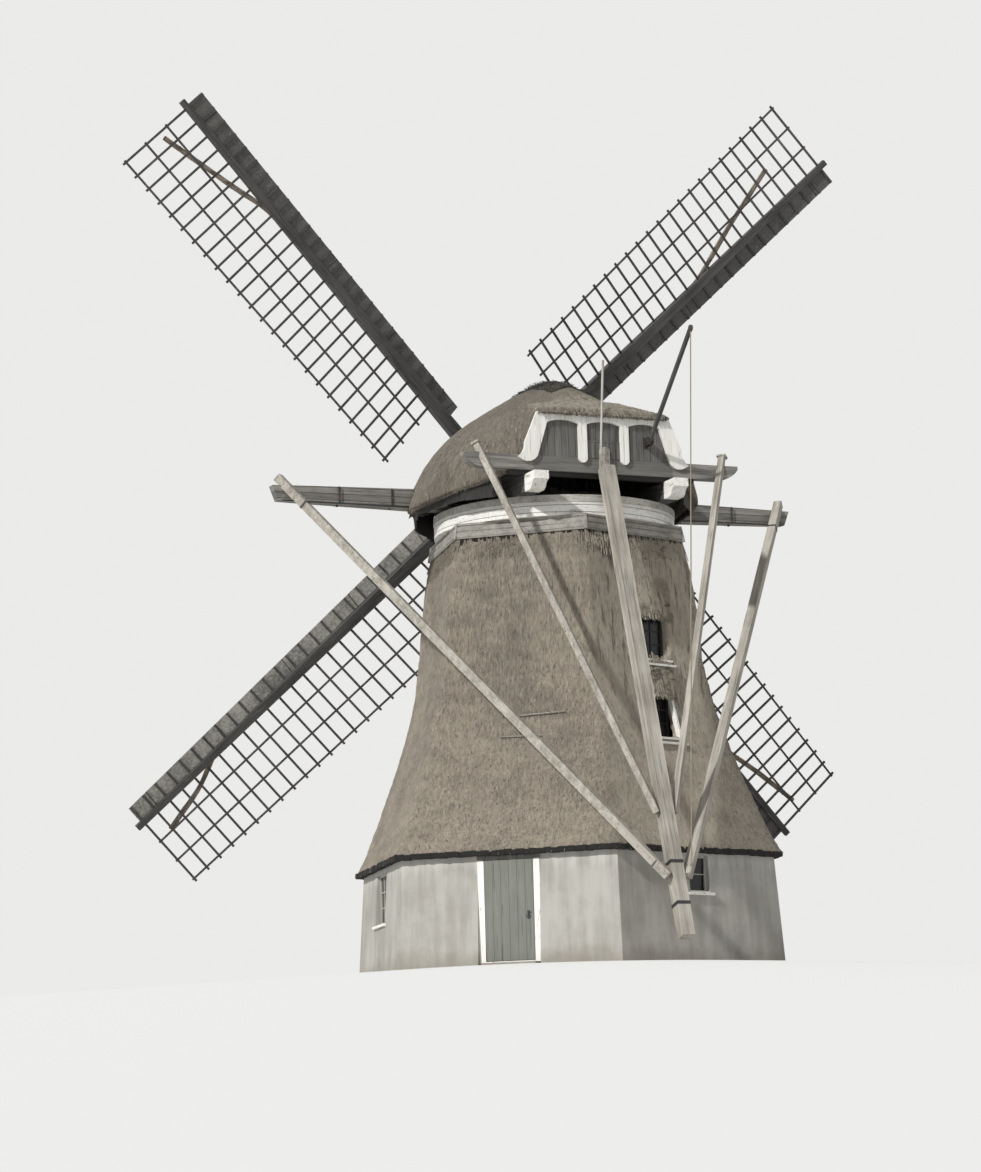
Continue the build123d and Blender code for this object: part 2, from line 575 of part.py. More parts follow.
def make_gable_trim():
    """White cornice with three shallow arches, two posts with round feet, and flared boards at the sides."""
    foot = BEAM_SHORT_TOP - TRIM_LAP - CAP_RING_TOP
    top = CAP_SECTIONS[-1][3][1] + TRIM_TOP
    low = top - CORNICE
    wide, narrow = RAKE_TOP_OUTER, RAKE_TOP_INNER
    cornice = make_face(Polyline((-wide, top), (wide, top), (narrow, low), (-narrow, low), close=True))
    inner_post, outer_post = POST_PLACE - POST_WIDTH / 2, POST_PLACE + POST_WIDTH / 2
    for start, end in ((-RAKE_TOP_INNER, -outer_post), (-inner_post, inner_post), (outer_post, RAKE_TOP_INNER)):
        arch = ThreePointArc((start, low), ((start + end) / 2, low + ARCH_RISE), (end, low))
        cornice -= make_face(Wire([arch, Line((end, low), (start, low))]))
    radius = POST_WIDTH / 2
    post = Pos(POST_PLACE, (low + foot + radius) / 2) * Rectangle(POST_WIDTH, low - foot - radius)
    post += Pos(POST_PLACE, foot + radius) * Circle(radius)
    toe = (RAKE_FOOT_OUTER + RAKE_CURL, foot + RAKE_CURL / 2)
    bend = (RAKE_FOOT_OUTER + RAKE_CURL * 0.1, foot + RAKE_CURL * 1.3)
    waist = (RAKE_FOOT_OUTER - RAKE_CURL * 0.6, foot + RAKE_CURL * 3.6)
    heel = (RAKE_FOOT_INNER, foot + RAKE_CURL)
    rake = make_face(Wire([
        Line((RAKE_TOP_OUTER, top), (RAKE_TOP_INNER, low)),
        Line((RAKE_TOP_INNER, low), heel),
        ThreePointArc(heel, (RAKE_FOOT_INNER + RAKE_CURL, foot), (RAKE_FOOT_OUTER, foot)),
        Line((RAKE_FOOT_OUTER, foot), toe),
        ThreePointArc(toe, bend, waist),
        Line(waist, (RAKE_TOP_OUTER, top)),
    ]))
    half = post + rake
    sketch = cornice + half + mirror(half, about=Plane.YZ)
    return extrude(across(GABLE_FACE, CAP_RING_TOP) * sketch, TRIM_DEPTH)


def rod(start, end, width, depth=None):
    """A straight squared timber between two points, one side kept level."""
    start, end = Vector(*start), Vector(*end)
    along = end - start
    return extrude(rod_plane(start, along) * Rectangle(width, depth or width), along.length)


def rod_plane(origin, along):
    """The plane across a timber, its x kept level."""
    return Plane(origin=origin, x_dir=Vector(0, 0, 1).cross(along).normalized(), z_dir=along.normalized())


def stretch(low, high, more_low, more_high):
    """Move both ends of a line outwards."""
    low, high = Vector(*low), Vector(*high)
    along = (high - low).normalized()
    return low - along * more_low, high + along * more_high


def tail_line(height):
    return Vector(TAIL_TOP_STATION + (TAIL_TOP_REF - height) * TAIL_SLOPE, 0.0, height)


def make_pole():
    """The tail pole, flat against the short beam, with a rounded tenon that stands up in front of the gable."""
    shoulder = SHEER_TOP + TENON_LOW
    low, high = tail_line(TAIL_FOOT), tail_line(shoulder)
    plane = Plane(origin=low, x_dir=(0, 1, 0), z_dir=(high - low).normalized())
    pole = loft([plane * Rectangle(TAIL_WIDTH_FOOT, TAIL_WIDTH_FOOT),
                 plane.offset((high - low).length) * Rectangle(TAIL_WIDTH_TOP, TAIL_WIDTH_TOP)], ruled=True)
    half = TAIL_WIDTH_FOOT
    pole -= block((0, -half, SHEER_TOP - SHEER_HEIGHT), (GABLE_FACE, half, shoulder + TAIL_WIDTH_TOP))
    radius = TENON_WIDTH / 2
    height = TENON_TOP - radius
    tenon = Pos(0, height / 2) * Rectangle(TENON_WIDTH, height) + Pos(0, height) * Circle(radius)
    return pole + extrude(across(GABLE_FACE, SHEER_TOP) * tenon, TENON_DEPTH)


def make_tail(beam_short, beam_long):
    """Tail pole, braces and staff at the back of the cap."""
    parts = {}
    pole = make_pole()
    parts["tail_pole"] = pole
    pairs = (("long_braces", LONG_BRACE_FOOT, LONG_BRACE_HIGH, beam_long, LONG_BRACE_ENDS, False),
             ("short_braces", SHORT_BRACE_FOOT, SHORT_BRACE_HIGH, beam_short, SHORT_BRACE_ENDS, True))
    for name, (height, side), top, carrier, ends, capped in pairs:
        foot = tail_line(height) + Vector(0, side, 0)
        start, end = stretch(foot, top, *ends)
        right = rod(start, end, BRACE) - pole - carrier
        right = max(right.solids(), key=lambda s: s.volume)
        if capped:
            width, depth, thick = BRACE_CAP
            right += extrude(rod_plane(end, end - start) * Rectangle(width, depth), thick)
        parts[name] = Compound(children=[right, mirror(right, about=Plane.XZ)])

    staff_x = GABLE_FACE + TRIM_DEPTH + STAFF_RADIUS + STAFF_SEAT
    foot, head = (Vector(staff_x, place, SHEER_TOP + rise) for place, rise in (STAFF_FOOT, STAFF_HEAD))
    up = head - foot
    parts["staff"] = extrude(Plane(origin=foot, z_dir=up.normalized()) * Circle(STAFF_RADIUS), up.length)
    return parts


def make_brake():
    """Bracket on the gable, the lever on its pin and the rope from the lever's tip."""
    y = LEVER_OFFSET
    px, pz = LEVER_PIVOT
    tx, tz = LEVER_TIP
    gap = LEVER_WIDTH / 2 + LEVER_SIDE_GAP
    reach = gap + CHEEK
    thick, height = BRACKET_PLATE
    bracket = block((GABLE_FACE, y - reach, pz - height / 2), (GABLE_FACE + thick, y + reach, pz + height / 2))
    for low, high in ((y - reach, y - gap), (y + gap, y + reach)):
        bracket += block((GABLE_FACE, low, pz - CHEEK_HALF), (px, high, pz + CHEEK_HALF))
        bracket += Pos(px, (low + high) / 2, pz) * Rot(90, 0, 0) * Cylinder(CHEEK_HALF, CHEEK)
    bracket += Pos(px, y, pz) * Rot(90, 0, 0) * Cylinder(LEVER_PIN, 2 * reach + LEVER_PIN)
    tip = Vector(tx, y, tz)
    along = (tip - Vector(px, y, pz)).normalized()
    lever = rod(Vector(px, y, pz) - along * LEVER_WIDTH, tip, LEVER_WIDTH, LEVER_DEPTH)
    lever += Pos(tip) * Rot(90, 0, 0) * Cylinder(PULLEY_RADIUS, PULLEY_WIDTH)
    lever -= Pos(px, y, pz) * Rot(90, 0, 0) * Cylinder(LEVER_PIN + LEVER_FIT, 4 * reach)
    foot = Vector(*ROPE_FOOT)
    down = (foot - tip).normalized()
    top = tip + down * (PULLEY_RADIUS - ROPE_RADIUS)
    rope = extrude(Plane(origin=top, z_dir=down) * Circle(ROPE_RADIUS), (foot - top).length)
    rope -= Pos(tip) * Rot(90, 0, 0) * Cylinder(PULLEY_RADIUS + ROPE_SEAT, 4 * PULLEY_WIDTH)
    return {"lever_bracket": bracket}, {"brake_lever": lever}, {"brake_rope": rope}


def taper(reach):
    """Width of a stock at a distance from the hub."""
    return STOCK_HUB + (STOCK_TIP - STOCK_HUB) * reach / STOCK_HALF_LENGTH


def twist(reach):
    """Slope of the lattice against the plane of the sails: steep near the hub, flat at the tip."""
    return TWIST_HUB + (TWIST_TIP - TWIST_HUB) * (reach - BAR_FIRST) / (BAR_LAST - BAR_FIRST)


def make_lattice():
    """Cross-bars and long laths of one sail. The laths are straight, though the lattice twists."""
    solids = []
    pitch = (BAR_LAST - BAR_FIRST) / (BARS - 1)
    for number in range(BARS):
        reach = BAR_FIRST + pitch * number
        slope = twist(reach)
        direction = Vector(0, 1, slope).normalized()
        plane = Plane(origin=Vector(reach, -BAR_STUB, -BAR_STUB * slope), x_dir=(1, 0, 0), z_dir=direction)
        length = (BAR_REACH + LATH_WIDTH / 2 + BAR_END + BAR_STUB) * math.hypot(1, slope)
        solids.append(extrude(plane * Rectangle(BAR_WIDTH, BAR_THICKNESS), length))
    for place in LATHS:
        start = Vector(BAR_FIRST - 120, place, place * twist(BAR_FIRST - 120))
        end = Vector(BAR_LAST + BAR_WIDTH, place, place * twist(BAR_LAST + BAR_WIDTH))
        slope = (twist(BAR_FIRST) + twist(BAR_LAST)) / 2
        plane = Plane(origin=start, x_dir=Vector(0, 1, slope), z_dir=(end - start).normalized())
        solids.append(extrude(plane * Rectangle(LATH_WIDTH, LATH_THICKNESS), (end - start).length))
    return solids[0].fuse(*solids[1:])


def make_stock():
    """A tapered timber through the hub."""
    plane = Plane(origin=(0, 0, 0), x_dir=(0, 1, 0), z_dir=(1, 0, 0))
    half = loft([plane * Rectangle(STOCK_HUB, STOCK_HUB),
                 plane.offset(STOCK_HALF_LENGTH) * Rectangle(STOCK_TIP, STOCK_TIP * STOCK_FLAT)], ruled=True)
    return half + mirror(half, about=Plane.YZ)


def make_windboard():
    """The thin board on the leading side, which follows the twist of the bars."""
    sections = []
    for reach in (WINDBOARD_START, BAR_LAST + BAR_WIDTH):
        slope = twist(reach)
        near, far = -(taper(reach) / 2 + 6.0), -BAR_STUB
        front = -(BAR_THICKNESS / 2 + BOARD_SEAT) * math.hypot(1, slope)
        back = front - WINDBOARD_THICKNESS
        points = [(reach, near, near * slope + front), (reach, far, far * slope + front),
                  (reach, far, far * slope + back), (reach, near, near * slope + back)]
        sections.append(make_face(Polyline(*points, close=True)))
    return loft(sections, ruled=True)


def stock_depth(reach):
    """Depth of a stock along the shaft at a distance from the hub."""
    return STOCK_HUB + (STOCK_TIP * STOCK_FLAT - STOCK_HUB) * reach / STOCK_HALF_LENGTH


def make_roll(line):
    """A sailcloth rolled up along the front of its stock and over the bars beside the tip."""
    points = []
    for way, side in line:
        reach = STOCK_HALF_LENGTH - way
        lift = stock_depth(reach) / 2
        bar = BAR_THICKNESS / 2 * math.hypot(1, twist(reach)) - side * twist(reach) + 1.5
        points.append(Vector(reach, side, -(max(lift, bar) + ROLL_RADIUS + ROLL_SEAT)))
    path = FilletPolyline(*points, radius=700.0)
    return sweep(Plane(origin=path @ 0, z_dir=path % 0) * Circle(ROLL_RADIUS), path)


def make_sails():
    """Windshaft with its poll end, two stocks, four lattices with windboards, and the rolled sailcloths."""
    parts = {}
    lattice, stock, board = make_lattice(), make_stock(), make_windboard()
    arms = []
    for arm in range(4):
        offset = STOCK_OFFSET if arm % 2 else -STOCK_OFFSET
        arms.append(HUB_PLANE * Pos(0, 0, offset) * Rot(0, 0, SAIL_TURN + 90.0 * arm))
    names = ("top_right", "top_left", "low_left", "low_right")
    lattices = [place * lattice for place in arms]
    for name, piece in zip(names, lattices):
        parts["lattice_" + name] = piece
    outer = arms[0] * stock
    inner = arms[1] * stock
    parts["stock_outer"] = outer - lattices[0] - lattices[2]
    parts["stock_inner"] = inner - lattices[1] - lattices[3]
    parts["windboards"] = Compound(children=[place * board for place in arms])
    parts["sailcloths"] = Compound(children=[place * make_roll(line) for place, line in zip(arms, ROLLS)])

    poll = Rot(0, 0, SAIL_TURN) * Box(POLL_SIZE, POLL_SIZE, POLL_LENGTH)
    upright = (Align.CENTER, Align.CENTER, Align.MIN)
    start = POLL_LENGTH / 2
    neck = Pos(0, 0, start) * Cylinder(SHAFT_RADIUS, SHAFT_NECK, align=upright)
    slim = Cylinder(SHAFT_END_RADIUS, SHAFT_LENGTH - SHAFT_NECK, align=upright)
    tail = Pos(0, 0, start + SHAFT_NECK) * slim
    parts["windshaft"] = HUB_PLANE * (poll + neck + tail) - outer - inner
    return parts


def main():
    frames, panes = make_foot()
    make_body(frames, panes)
    keep("window_frames", Compound(children=frames))
    keep("window_glass", Compound(children=panes))
    make_head()
    cap_parts = make_cap()
    cap_parts.update(make_tail(cap_parts["short_beam"], cap_parts["long_beam"]))
    bracket, lever, rope = make_brake()
    for group in (cap_parts, bracket, lever, rope, make_sails()):
        for name, shape in group.items():
            keep(name, CAP * shape)
    os.makedirs("parts", exist_ok=True)
    for name, shape in NODES.items():
        export_step(shape, f"parts/{name}.step")


main()
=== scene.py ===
"""Looks of a thatched smock mill: reed, tarred timber, whitewashed masonry and rolled sailcloths.

Everything is in metres, in the mill's own frame: +Z up, the door to -Y, the cap turned towards TAIL.
"""

from __future__ import annotations

import json
import logging
import math
import random
from dataclasses import dataclass, field
from enum import Enum
from typing import Callable, Iterable, Sequence

import bpy
import numpy as np
from mathutils import Matrix, Vector, noise
from mathutils.bvhtree import BVHTree

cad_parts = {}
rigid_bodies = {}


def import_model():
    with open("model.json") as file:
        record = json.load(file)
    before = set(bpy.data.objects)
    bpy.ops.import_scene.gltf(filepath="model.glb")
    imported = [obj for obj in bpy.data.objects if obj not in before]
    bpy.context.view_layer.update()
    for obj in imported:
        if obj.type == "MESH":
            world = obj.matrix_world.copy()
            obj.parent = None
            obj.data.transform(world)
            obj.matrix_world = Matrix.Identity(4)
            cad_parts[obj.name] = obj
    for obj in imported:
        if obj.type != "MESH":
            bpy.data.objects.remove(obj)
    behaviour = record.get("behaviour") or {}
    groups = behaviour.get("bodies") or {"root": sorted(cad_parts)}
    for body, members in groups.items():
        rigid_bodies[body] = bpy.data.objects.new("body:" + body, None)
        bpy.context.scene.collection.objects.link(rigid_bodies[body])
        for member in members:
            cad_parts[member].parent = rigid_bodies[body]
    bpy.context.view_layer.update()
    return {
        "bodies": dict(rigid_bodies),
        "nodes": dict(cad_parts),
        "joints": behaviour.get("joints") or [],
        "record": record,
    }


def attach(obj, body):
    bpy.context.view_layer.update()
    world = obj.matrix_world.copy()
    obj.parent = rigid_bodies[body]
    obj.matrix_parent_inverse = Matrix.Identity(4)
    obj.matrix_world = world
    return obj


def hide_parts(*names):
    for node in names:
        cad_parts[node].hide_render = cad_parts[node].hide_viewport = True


LOG = logging.getLogger("mill")
Colour = tuple[float, float, float]

CAP_TURN = math.radians(-49.4)
TAIL = Vector((math.cos(CAP_TURN), math.sin(CAP_TURN), 0.0))
RIGHT = Vector((-math.sin(CAP_TURN), math.cos(CAP_TURN), 0.0))
UP = Vector((0.0, 0.0, 1.0))
SHAFT_TILT = math.radians(13.8)
SHAFT = (-TAIL * math.cos(SHAFT_TILT) + UP * math.sin(SHAFT_TILT)).normalized()
HUB = TAIL * -3.425 + UP * 12.094
SAIL_TURN = math.radians(45.26)
RAISED = RIGHT.cross(SHAFT)


def in_cap(back: float, right: float, up: float) -> Vector:
    """A point of the mill from its place in the cap's own frame."""
    return TAIL * back + RIGHT * right + UP * up


class Wire:
    """A socket of a shader, on which expressions add their maths nodes."""

    def __init__(self, shop: "Shop", socket: bpy.types.NodeSocket) -> None:
        """Keep the material and the socket."""
        self.shop = shop
        self.socket = socket

    def _maths(self, operation: str, first: object, second: object) -> "Wire":
        """Add one Math node with two inputs."""
        return self.shop.make("ShaderNodeMath", {"operation": operation}, {0: first, 1: second})

    def __add__(self, other: object) -> "Wire":
        """Sum."""
        return self._maths("ADD", self, other)

    def __radd__(self, other: object) -> "Wire":
        """Sum with the number first."""
        return self._maths("ADD", other, self)

    def __sub__(self, other: object) -> "Wire":
        """Difference."""
        return self._maths("SUBTRACT", self, other)

    def __rsub__(self, other: object) -> "Wire":
        """Difference with the number first."""
        return self._maths("SUBTRACT", other, self)

    def __mul__(self, other: object) -> "Wire":
        """Product."""
        return self._maths("MULTIPLY", self, other)

    def __rmul__(self, other: object) -> "Wire":
        """Product with the number first."""
        return self._maths("MULTIPLY", other, self)

    def fract(self) -> "Wire":
        """What is left after the last whole number."""
        return self.shop.make("ShaderNodeMath", {"operation": "FRACT"}, {0: self})

    def floor(self) -> "Wire":
        """The whole number below."""
        return self.shop.make("ShaderNodeMath", {"operation": "FLOOR"}, {0: self})

    def size(self) -> "Wire":
        """The number without its sign."""
        return self.shop.make("ShaderNodeMath", {"operation": "ABSOLUTE"}, {0: self})

    def lesser(self, other: object) -> "Wire":
        """The smaller of two numbers."""
        return self._maths("MINIMUM", self, other)

    def between(self, low: float, high: float) -> "Wire":
        """A soft step from 0 at low to 1 at high."""
        settings = {"interpolation_type": "SMOOTHSTEP"}
        return self.shop.make("ShaderNodeMapRange", settings, {0: self, 1: low, 2: high})


class Shop:
    """One material in the making: it adds nodes and joins them."""

    def __init__(self, name: str) -> None:
        """Start an empty material.

        Args:
            name: name of the material.
        """
        self.material = bpy.data.materials.new(name)
        self.material.use_nodes = True
        self.tree = self.material.node_tree
        self.tree.nodes.clear()

    def make(self, kind: str, settings: dict | None = None, values: dict | None = None,
             out: int | str = 0) -> Wire:
        """Add any node.

        Args:
            kind: Blender's name of the node type.
            settings: properties of the node, set first.
            values: numbers, colours or wires for its inputs, by name or place.
            out: the output that is wanted, by name or place.

        Returns:
            The wanted output.
        """
        node = self.tree.nodes.new(kind)
        for key, value in (settings or {}).items():
            setattr(node, key, value)
        for key, value in (values or {}).items():
            if isinstance(value, Wire):
                self.tree.links.new(value.socket, node.inputs[key])
            else:
                node.inputs[key].default_value = value
        return Wire(self, node.outputs[out])

    def place(self) -> Wire:
        """The place on the object, in metres, which goes with the object as it moves."""
        return self.make("ShaderNodeTexCoord", out="Object")

    def run(self) -> Wire:
        """The place along the reed or the cloth, stored on the mesh."""
        return self.make("ShaderNodeAttribute", {"attribute_name": "run"}, out="Vector")

    def reach(self, at: Wire, axis: Vector) -> Wire:
        """How far a place lies along a direction."""
        ends = {0: at, 1: tuple(axis)}
        return self.make("ShaderNodeVectorMath", {"operation": "DOT_PRODUCT"}, ends, out="Value")

    def seams(self, at: Wire, axis: Vector, width: float, gap: float = 0.006) -> tuple[Wire, Wire]:
        """Boards laid side by side.

        Args:
            at: the place.
            axis: across the boards.
            width: of one board, in metres.
            gap: of a seam.

        Returns:
            A tone from 0 to 1 of each board, and 1 in the seams.
        """
        count = self.reach(at, axis) * (1.0 / width) + 40.0
        whole = {"W": count.floor()}
        tone = self.make("ShaderNodeTexWhiteNoise", {"noise_dimensions": "1D"}, whole, out="Value")
        part = count.fract()
        edge = part.lesser(1.0 - part)
        return tone, 1.0 - edge.between(gap / width * 0.5, gap / width * 1.3)

    def stretch(self, at: Wire, scale: Sequence[float]) -> Wire:
        """A place with each direction scaled by itself."""
        return self.make("ShaderNodeVectorMath", {"operation": "MULTIPLY"}, {0: at, 1: tuple(scale)})

    def along(self, at: Wire, grain: Vector) -> Wire:
        """Turn a place so that its first number runs along the grain.

        Args:
            at: the place.
            grain: direction of the grain.

        Returns:
            The turned place.
        """
        side = grain.cross(UP if abs(grain.z) < 0.9 else RIGHT).normalized()
        other = grain.cross(side).normalized()
        parts = [self.reach(at, axis) for axis in (grain, side, other)]
        return self.make("ShaderNodeCombineXYZ", values=dict(enumerate(parts)))

    def cloud(self, at: Wire, scale: float = 1.0, detail: float = 3.0, rough: float = 0.5) -> Wire:
        """Soft noise round one half."""
        values = {"Vector": at, "Scale": scale, "Detail": detail, "Roughness": rough}
        return self.make("ShaderNodeTexNoise", values=values)

    def drawn(self, at: Wire, scale: Sequence[float], detail: float, rough: float) -> Wire:
        """Soft noise round one half, drawn out by another amount in each direction."""
        return self.cloud(self.stretch(at, scale), 1.0, detail, rough)

    def mix(self, factor: Wire | float, first: object, second: object) -> Wire:
        """Blend two colours.

        Args:
            factor: share of the second, from 0 to 1.
            first: colour at 0.
            second: colour at 1.

        Returns:
            The blend.
        """
        node = self.tree.nodes.new("ShaderNodeMix")
        node.data_type = "RGBA"
        inputs = {socket.identifier: socket for socket in node.inputs}
        for key, value in {"Factor_Float": factor, "A_Color": first, "B_Color": second}.items():
            if isinstance(value, Wire):
                self.tree.links.new(value.socket, inputs[key])
            elif isinstance(value, tuple):
                inputs[key].default_value = (*value, 1.0)
            else:
                inputs[key].default_value = value
        return Wire(self, next(s for s in node.outputs if s.identifier == "Result_Color"))

    def close(self, base: Wire | Colour, rough: Wire | float, height: Wire | None = None, depth: float = 0.01,
              **fixed: float) -> bpy.types.Material:
        """Join everything to the surface.

        Args:
            base: colour of the surface.
            rough: its roughness.
            height: relief from 0 to 1, or None for a smooth one.
            depth: how deep the relief is, in metres.
            **fixed: other numbers of the surface, by socket name with _ for a blank.

        Returns:
            The finished material.
        """
        values: dict = {"Base Color": base if isinstance(base, Wire) else (*base, 1.0), "Roughness": rough}
        if height is not None:
            bump = {"Height": height, "Distance": depth, "Strength": 1.0}
            values["Normal"] = self.make("ShaderNodeBump", values=bump)
        for key, value in fixed.items():
            values[key.replace("_", " ")] = value
        surface = self.make("ShaderNodeBsdfPrincipled", values=values)
        self.make_output(surface)
        return self.material

    def make_output(self, surface: Wire) -> None:
        """Show a surface."""
        output = self.tree.nodes.new("ShaderNodeOutputMaterial")
        self.tree.links.new(surface.socket, output.inputs["Surface"])


@dataclass(frozen=True)
class Thatch:
    """Weathered reed, its straws along the second number of the mesh's own run."""

    name: str = "reed"
    light: Colour = (0.42, 0.365, 0.285)
    dark: Colour = (0.165, 0.142, 0.112)
    moss: Colour = (0.18, 0.172, 0.115)
    pit: Colour = (0.05, 0.042, 0.034)
    pale: Colour = (0.50, 0.45, 0.36)
    paler_area: Callable[[Shop], Wire] | None = None
    furrows_from: float = 4.4
    furrows_full: float = 7.0

    def build(self) -> bpy.types.Material:
        """Make the material.

        Returns:
            The material, ready to put on a piece.
        """
        shop = Shop(self.name)
        run = shop.run()
        straws = shop.drawn(run, (58.0, 2.6, 58.0), 5.0, 0.68)
        tufts = shop.drawn(run, (13.0, 3.6, 13.0), 5.0, 0.66)
        patches = shop.drawn(run, (0.8, 0.5, 0.8), 4.0, 0.6)
        courses = shop.drawn(run, (0.7, 2.6, 0.7), 3.0, 0.6)
        pits = shop.drawn(run, (26.0, 8.0, 26.0), 3.0, 0.6)
        tone = straws * 0.42 + tufts * 0.5 + patches * 0.36 + courses * 0.26
        colour = shop.mix(tone.between(0.58, 1.0), self.dark, self.light)
        colour = shop.mix(pits.between(0.60, 0.70) * 0.7, colour, self.pit)
        colour = shop.mix((1.0 - pits.between(0.30, 0.40)) * 0.5, colour, self.pale)
        colour = shop.mix(patches.between(0.52, 0.72) * 0.4, colour, self.moss)
        # Where this mask reaches, straw is drawn paler and dark furrows are drawn over it. On the body's
        # right facet both are painted light: the paleness is painted grazing sunlight and the furrows are
        # painted streaky shade. On the cap the same is drawn on the slope over the gable.
        if self.paler_area is not None:
            worn = self.paler_area(shop)
            furrows = shop.drawn(run, (7.0, 0.9, 7.0), 3.0, 0.6)
            colour = shop.mix(worn * tone.between(0.35, 0.95), colour, self.pale)
            high = shop.reach(shop.place(), UP).between(self.furrows_from, self.furrows_full)
            colour = shop.mix(worn * furrows.between(0.53, 0.64) * high * 0.75, colour, self.pit)
        relief = straws * 0.4 + tufts * 0.6 + courses * 0.25 - pits.between(0.55, 0.75) * 0.35
        return shop.close(colour, 0.95, relief, 0.09, Diffuse_Roughness=1.0)


def sunlit_right_facet(shop: Shop) -> Wire:
    """How far a place belongs to the facet on the right, which is drawn paler with dark furrows: painted
    grazing sunlight and painted streaky shade.

    Args:
        shop: the material in the making.

    Returns:
        From 0 elsewhere to 0.85 on that facet.
    """
    flat = shop.stretch(shop.place(), (1.0, 1.0, 0.0))
    way = shop.make("ShaderNodeVectorMath", {"operation": "NORMALIZE"}, {0: flat})
    return shop.reach(way, Vector((0.866, -0.5, 0.0))).between(0.85, 0.90) * 0.85


def over_gable(shop: Shop) -> Wire:
    """How far a place lies on the slope over the gable, which is paler than the sides.

    Args:
        shop: the material in the making.

    Returns:
        From 0 elsewhere to 0.6 on that slope.
    """
    place = shop.place()
    aside = shop.reach(place, RIGHT).size()
    height = shop.reach(place, UP)
    behind = shop.reach(place, TAIL)
    return behind.between(1.5, 2.0) * (1.0 - aside.between(1.45, 1.62)) * height.between(12.35, 12.5) * 0.6


@dataclass(frozen=True)
class Timber:
    """Sawn timber with its grain and checks along one direction."""

    name: str
    light: Colour
    dark: Colour
    grain: Vector
    rough: float = 0.8
    wear: Colour | None = None
    across: Vector | None = None
    board: float = 0.2
    uneven: float = 0.45

    def build(self) -> bpy.types.Material:
        """Make the material.

        Returns:
            The material, ready to put on a piece.
        """
        shop = Shop(self.name)
        place = shop.place()
        at = shop.along(place, self.grain)
        fibres = shop.drawn(at, (1.6, 55.0, 55.0), 4.0, 0.6)
        streaks = shop.drawn(at, (0.5, 9.0, 9.0), 3.0, 0.55)
        checks = shop.drawn(at, (0.9, 30.0, 30.0), 2.0, 0.5).between(0.63, 0.70)
        stains = shop.cloud(at, 1.3, 3.0, 0.5)
        tone = fibres * 0.45 + streaks * 0.45 + stains * 0.3
        colour = shop.mix(tone.between(0.42, 0.78), self.dark, self.light)
        colour = shop.mix(checks * 0.6, colour, tuple(0.35 * c for c in self.dark))
        if self.wear is not None:
            bare = shop.drawn(at, (2.0, 14.0, 14.0), 4.0, 0.65).between(0.60, 0.70)
            colour = shop.mix(bare * 0.5, colour, self.wear)
        relief = fibres * 0.5 - checks * 0.8
        if self.across is not None:
            tone, seam = shop.seams(place, self.across, self.board)
            colour = shop.mix(tone * self.uneven, colour, tuple(0.55 * c for c in self.dark))
            colour = shop.mix(seam * 0.7, colour, (0.008, 0.008, 0.008))
            relief = relief - seam * 3.0
        return shop.close(colour, self.rough, relief, 0.004)


@dataclass(frozen=True)
class Plaster:
    """Whitewashed masonry with patches, paler in a band under the eave and splashed near the ground."""

    name: str = "limewash"
    light: Colour = (0.41, 0.396, 0.356)
    dark: Colour = (0.305, 0.29, 0.255)
    earth: Colour = (0.19, 0.165, 0.135)
    eave_band: Colour = (0.58, 0.565, 0.52)

    def build(self) -> bpy.types.Material:
        """Make the material.

        Returns:
            The material, ready to put on a piece.
        """
        shop = Shop(self.name)
        at = shop.place()
        height = shop.make("ShaderNodeSeparateXYZ", values={0: at}, out="Z")
        patches = shop.cloud(at, 0.9, 4.0, 0.6)
        runs = shop.drawn(at, (5.0, 5.0, 0.5), 3.0, 0.55)
        grit = shop.cloud(at, 60.0, 3.0, 0.6)
        trowel = shop.cloud(at, 5.0, 3.0, 0.5)
        colour = shop.mix((patches * 0.6 + runs * 0.4).between(0.36, 0.62), self.dark, self.light)
        # A paler band just under the eave, whose lower edge wavers with the runs.
        eave_band_rise = height + (runs - 0.5) * 0.7
        colour = shop.mix(eave_band_rise.between(2.05, 2.5) * 0.6, colour, self.eave_band)
        edge = height + patches * 0.5 - 0.25
        colour = shop.mix((1.0 - edge.between(0.0, 0.55)) * 0.55, colour, self.earth)
        colour = shop.mix(grit.between(0.62, 0.72) * 0.25, colour, self.dark)
        return shop.close(colour, 0.92, grit * 0.3 + trowel * 0.7, 0.012)


@dataclass(frozen=True)
class Iron:
    """Painted or tarred iron, with rust where the paint is gone."""

    name: str = "black_iron"
    paint: Colour = (0.03, 0.03, 0.032)
    rust: Colour = (0.12, 0.06, 0.035)

    def build(self) -> bpy.types.Material:
        """Make the material.

        Returns:
            The material, ready to put on a piece.
        """
        shop = Shop(self.name)
        at = shop.place()
        gone = shop.cloud(at, 9.0, 4.0, 0.65).between(0.55, 0.66)
        pits = shop.cloud(at, 70.0, 2.0, 0.5)
        colour = shop.mix(gone, self.paint, self.rust)
        return shop.close(colour, gone * 0.3 + 0.5, pits, 0.002, Metallic=0.2)


@dataclass(frozen=True)
class Glass:
    """Old window glass, dark from outside."""

    name: str = "old_glass"
    tint: Colour = (0.008, 0.009, 0.010)

    def build(self) -> bpy.types.Material:
        """Make the material.

        Returns:
            The material, ready to put on a piece.
        """
        shop = Shop(self.name)
        waves = shop.cloud(shop.place(), 6.0, 2.0, 0.5)
        return shop.close(self.tint, 0.18, waves, 0.006, Specular_IOR_Level=0.35)


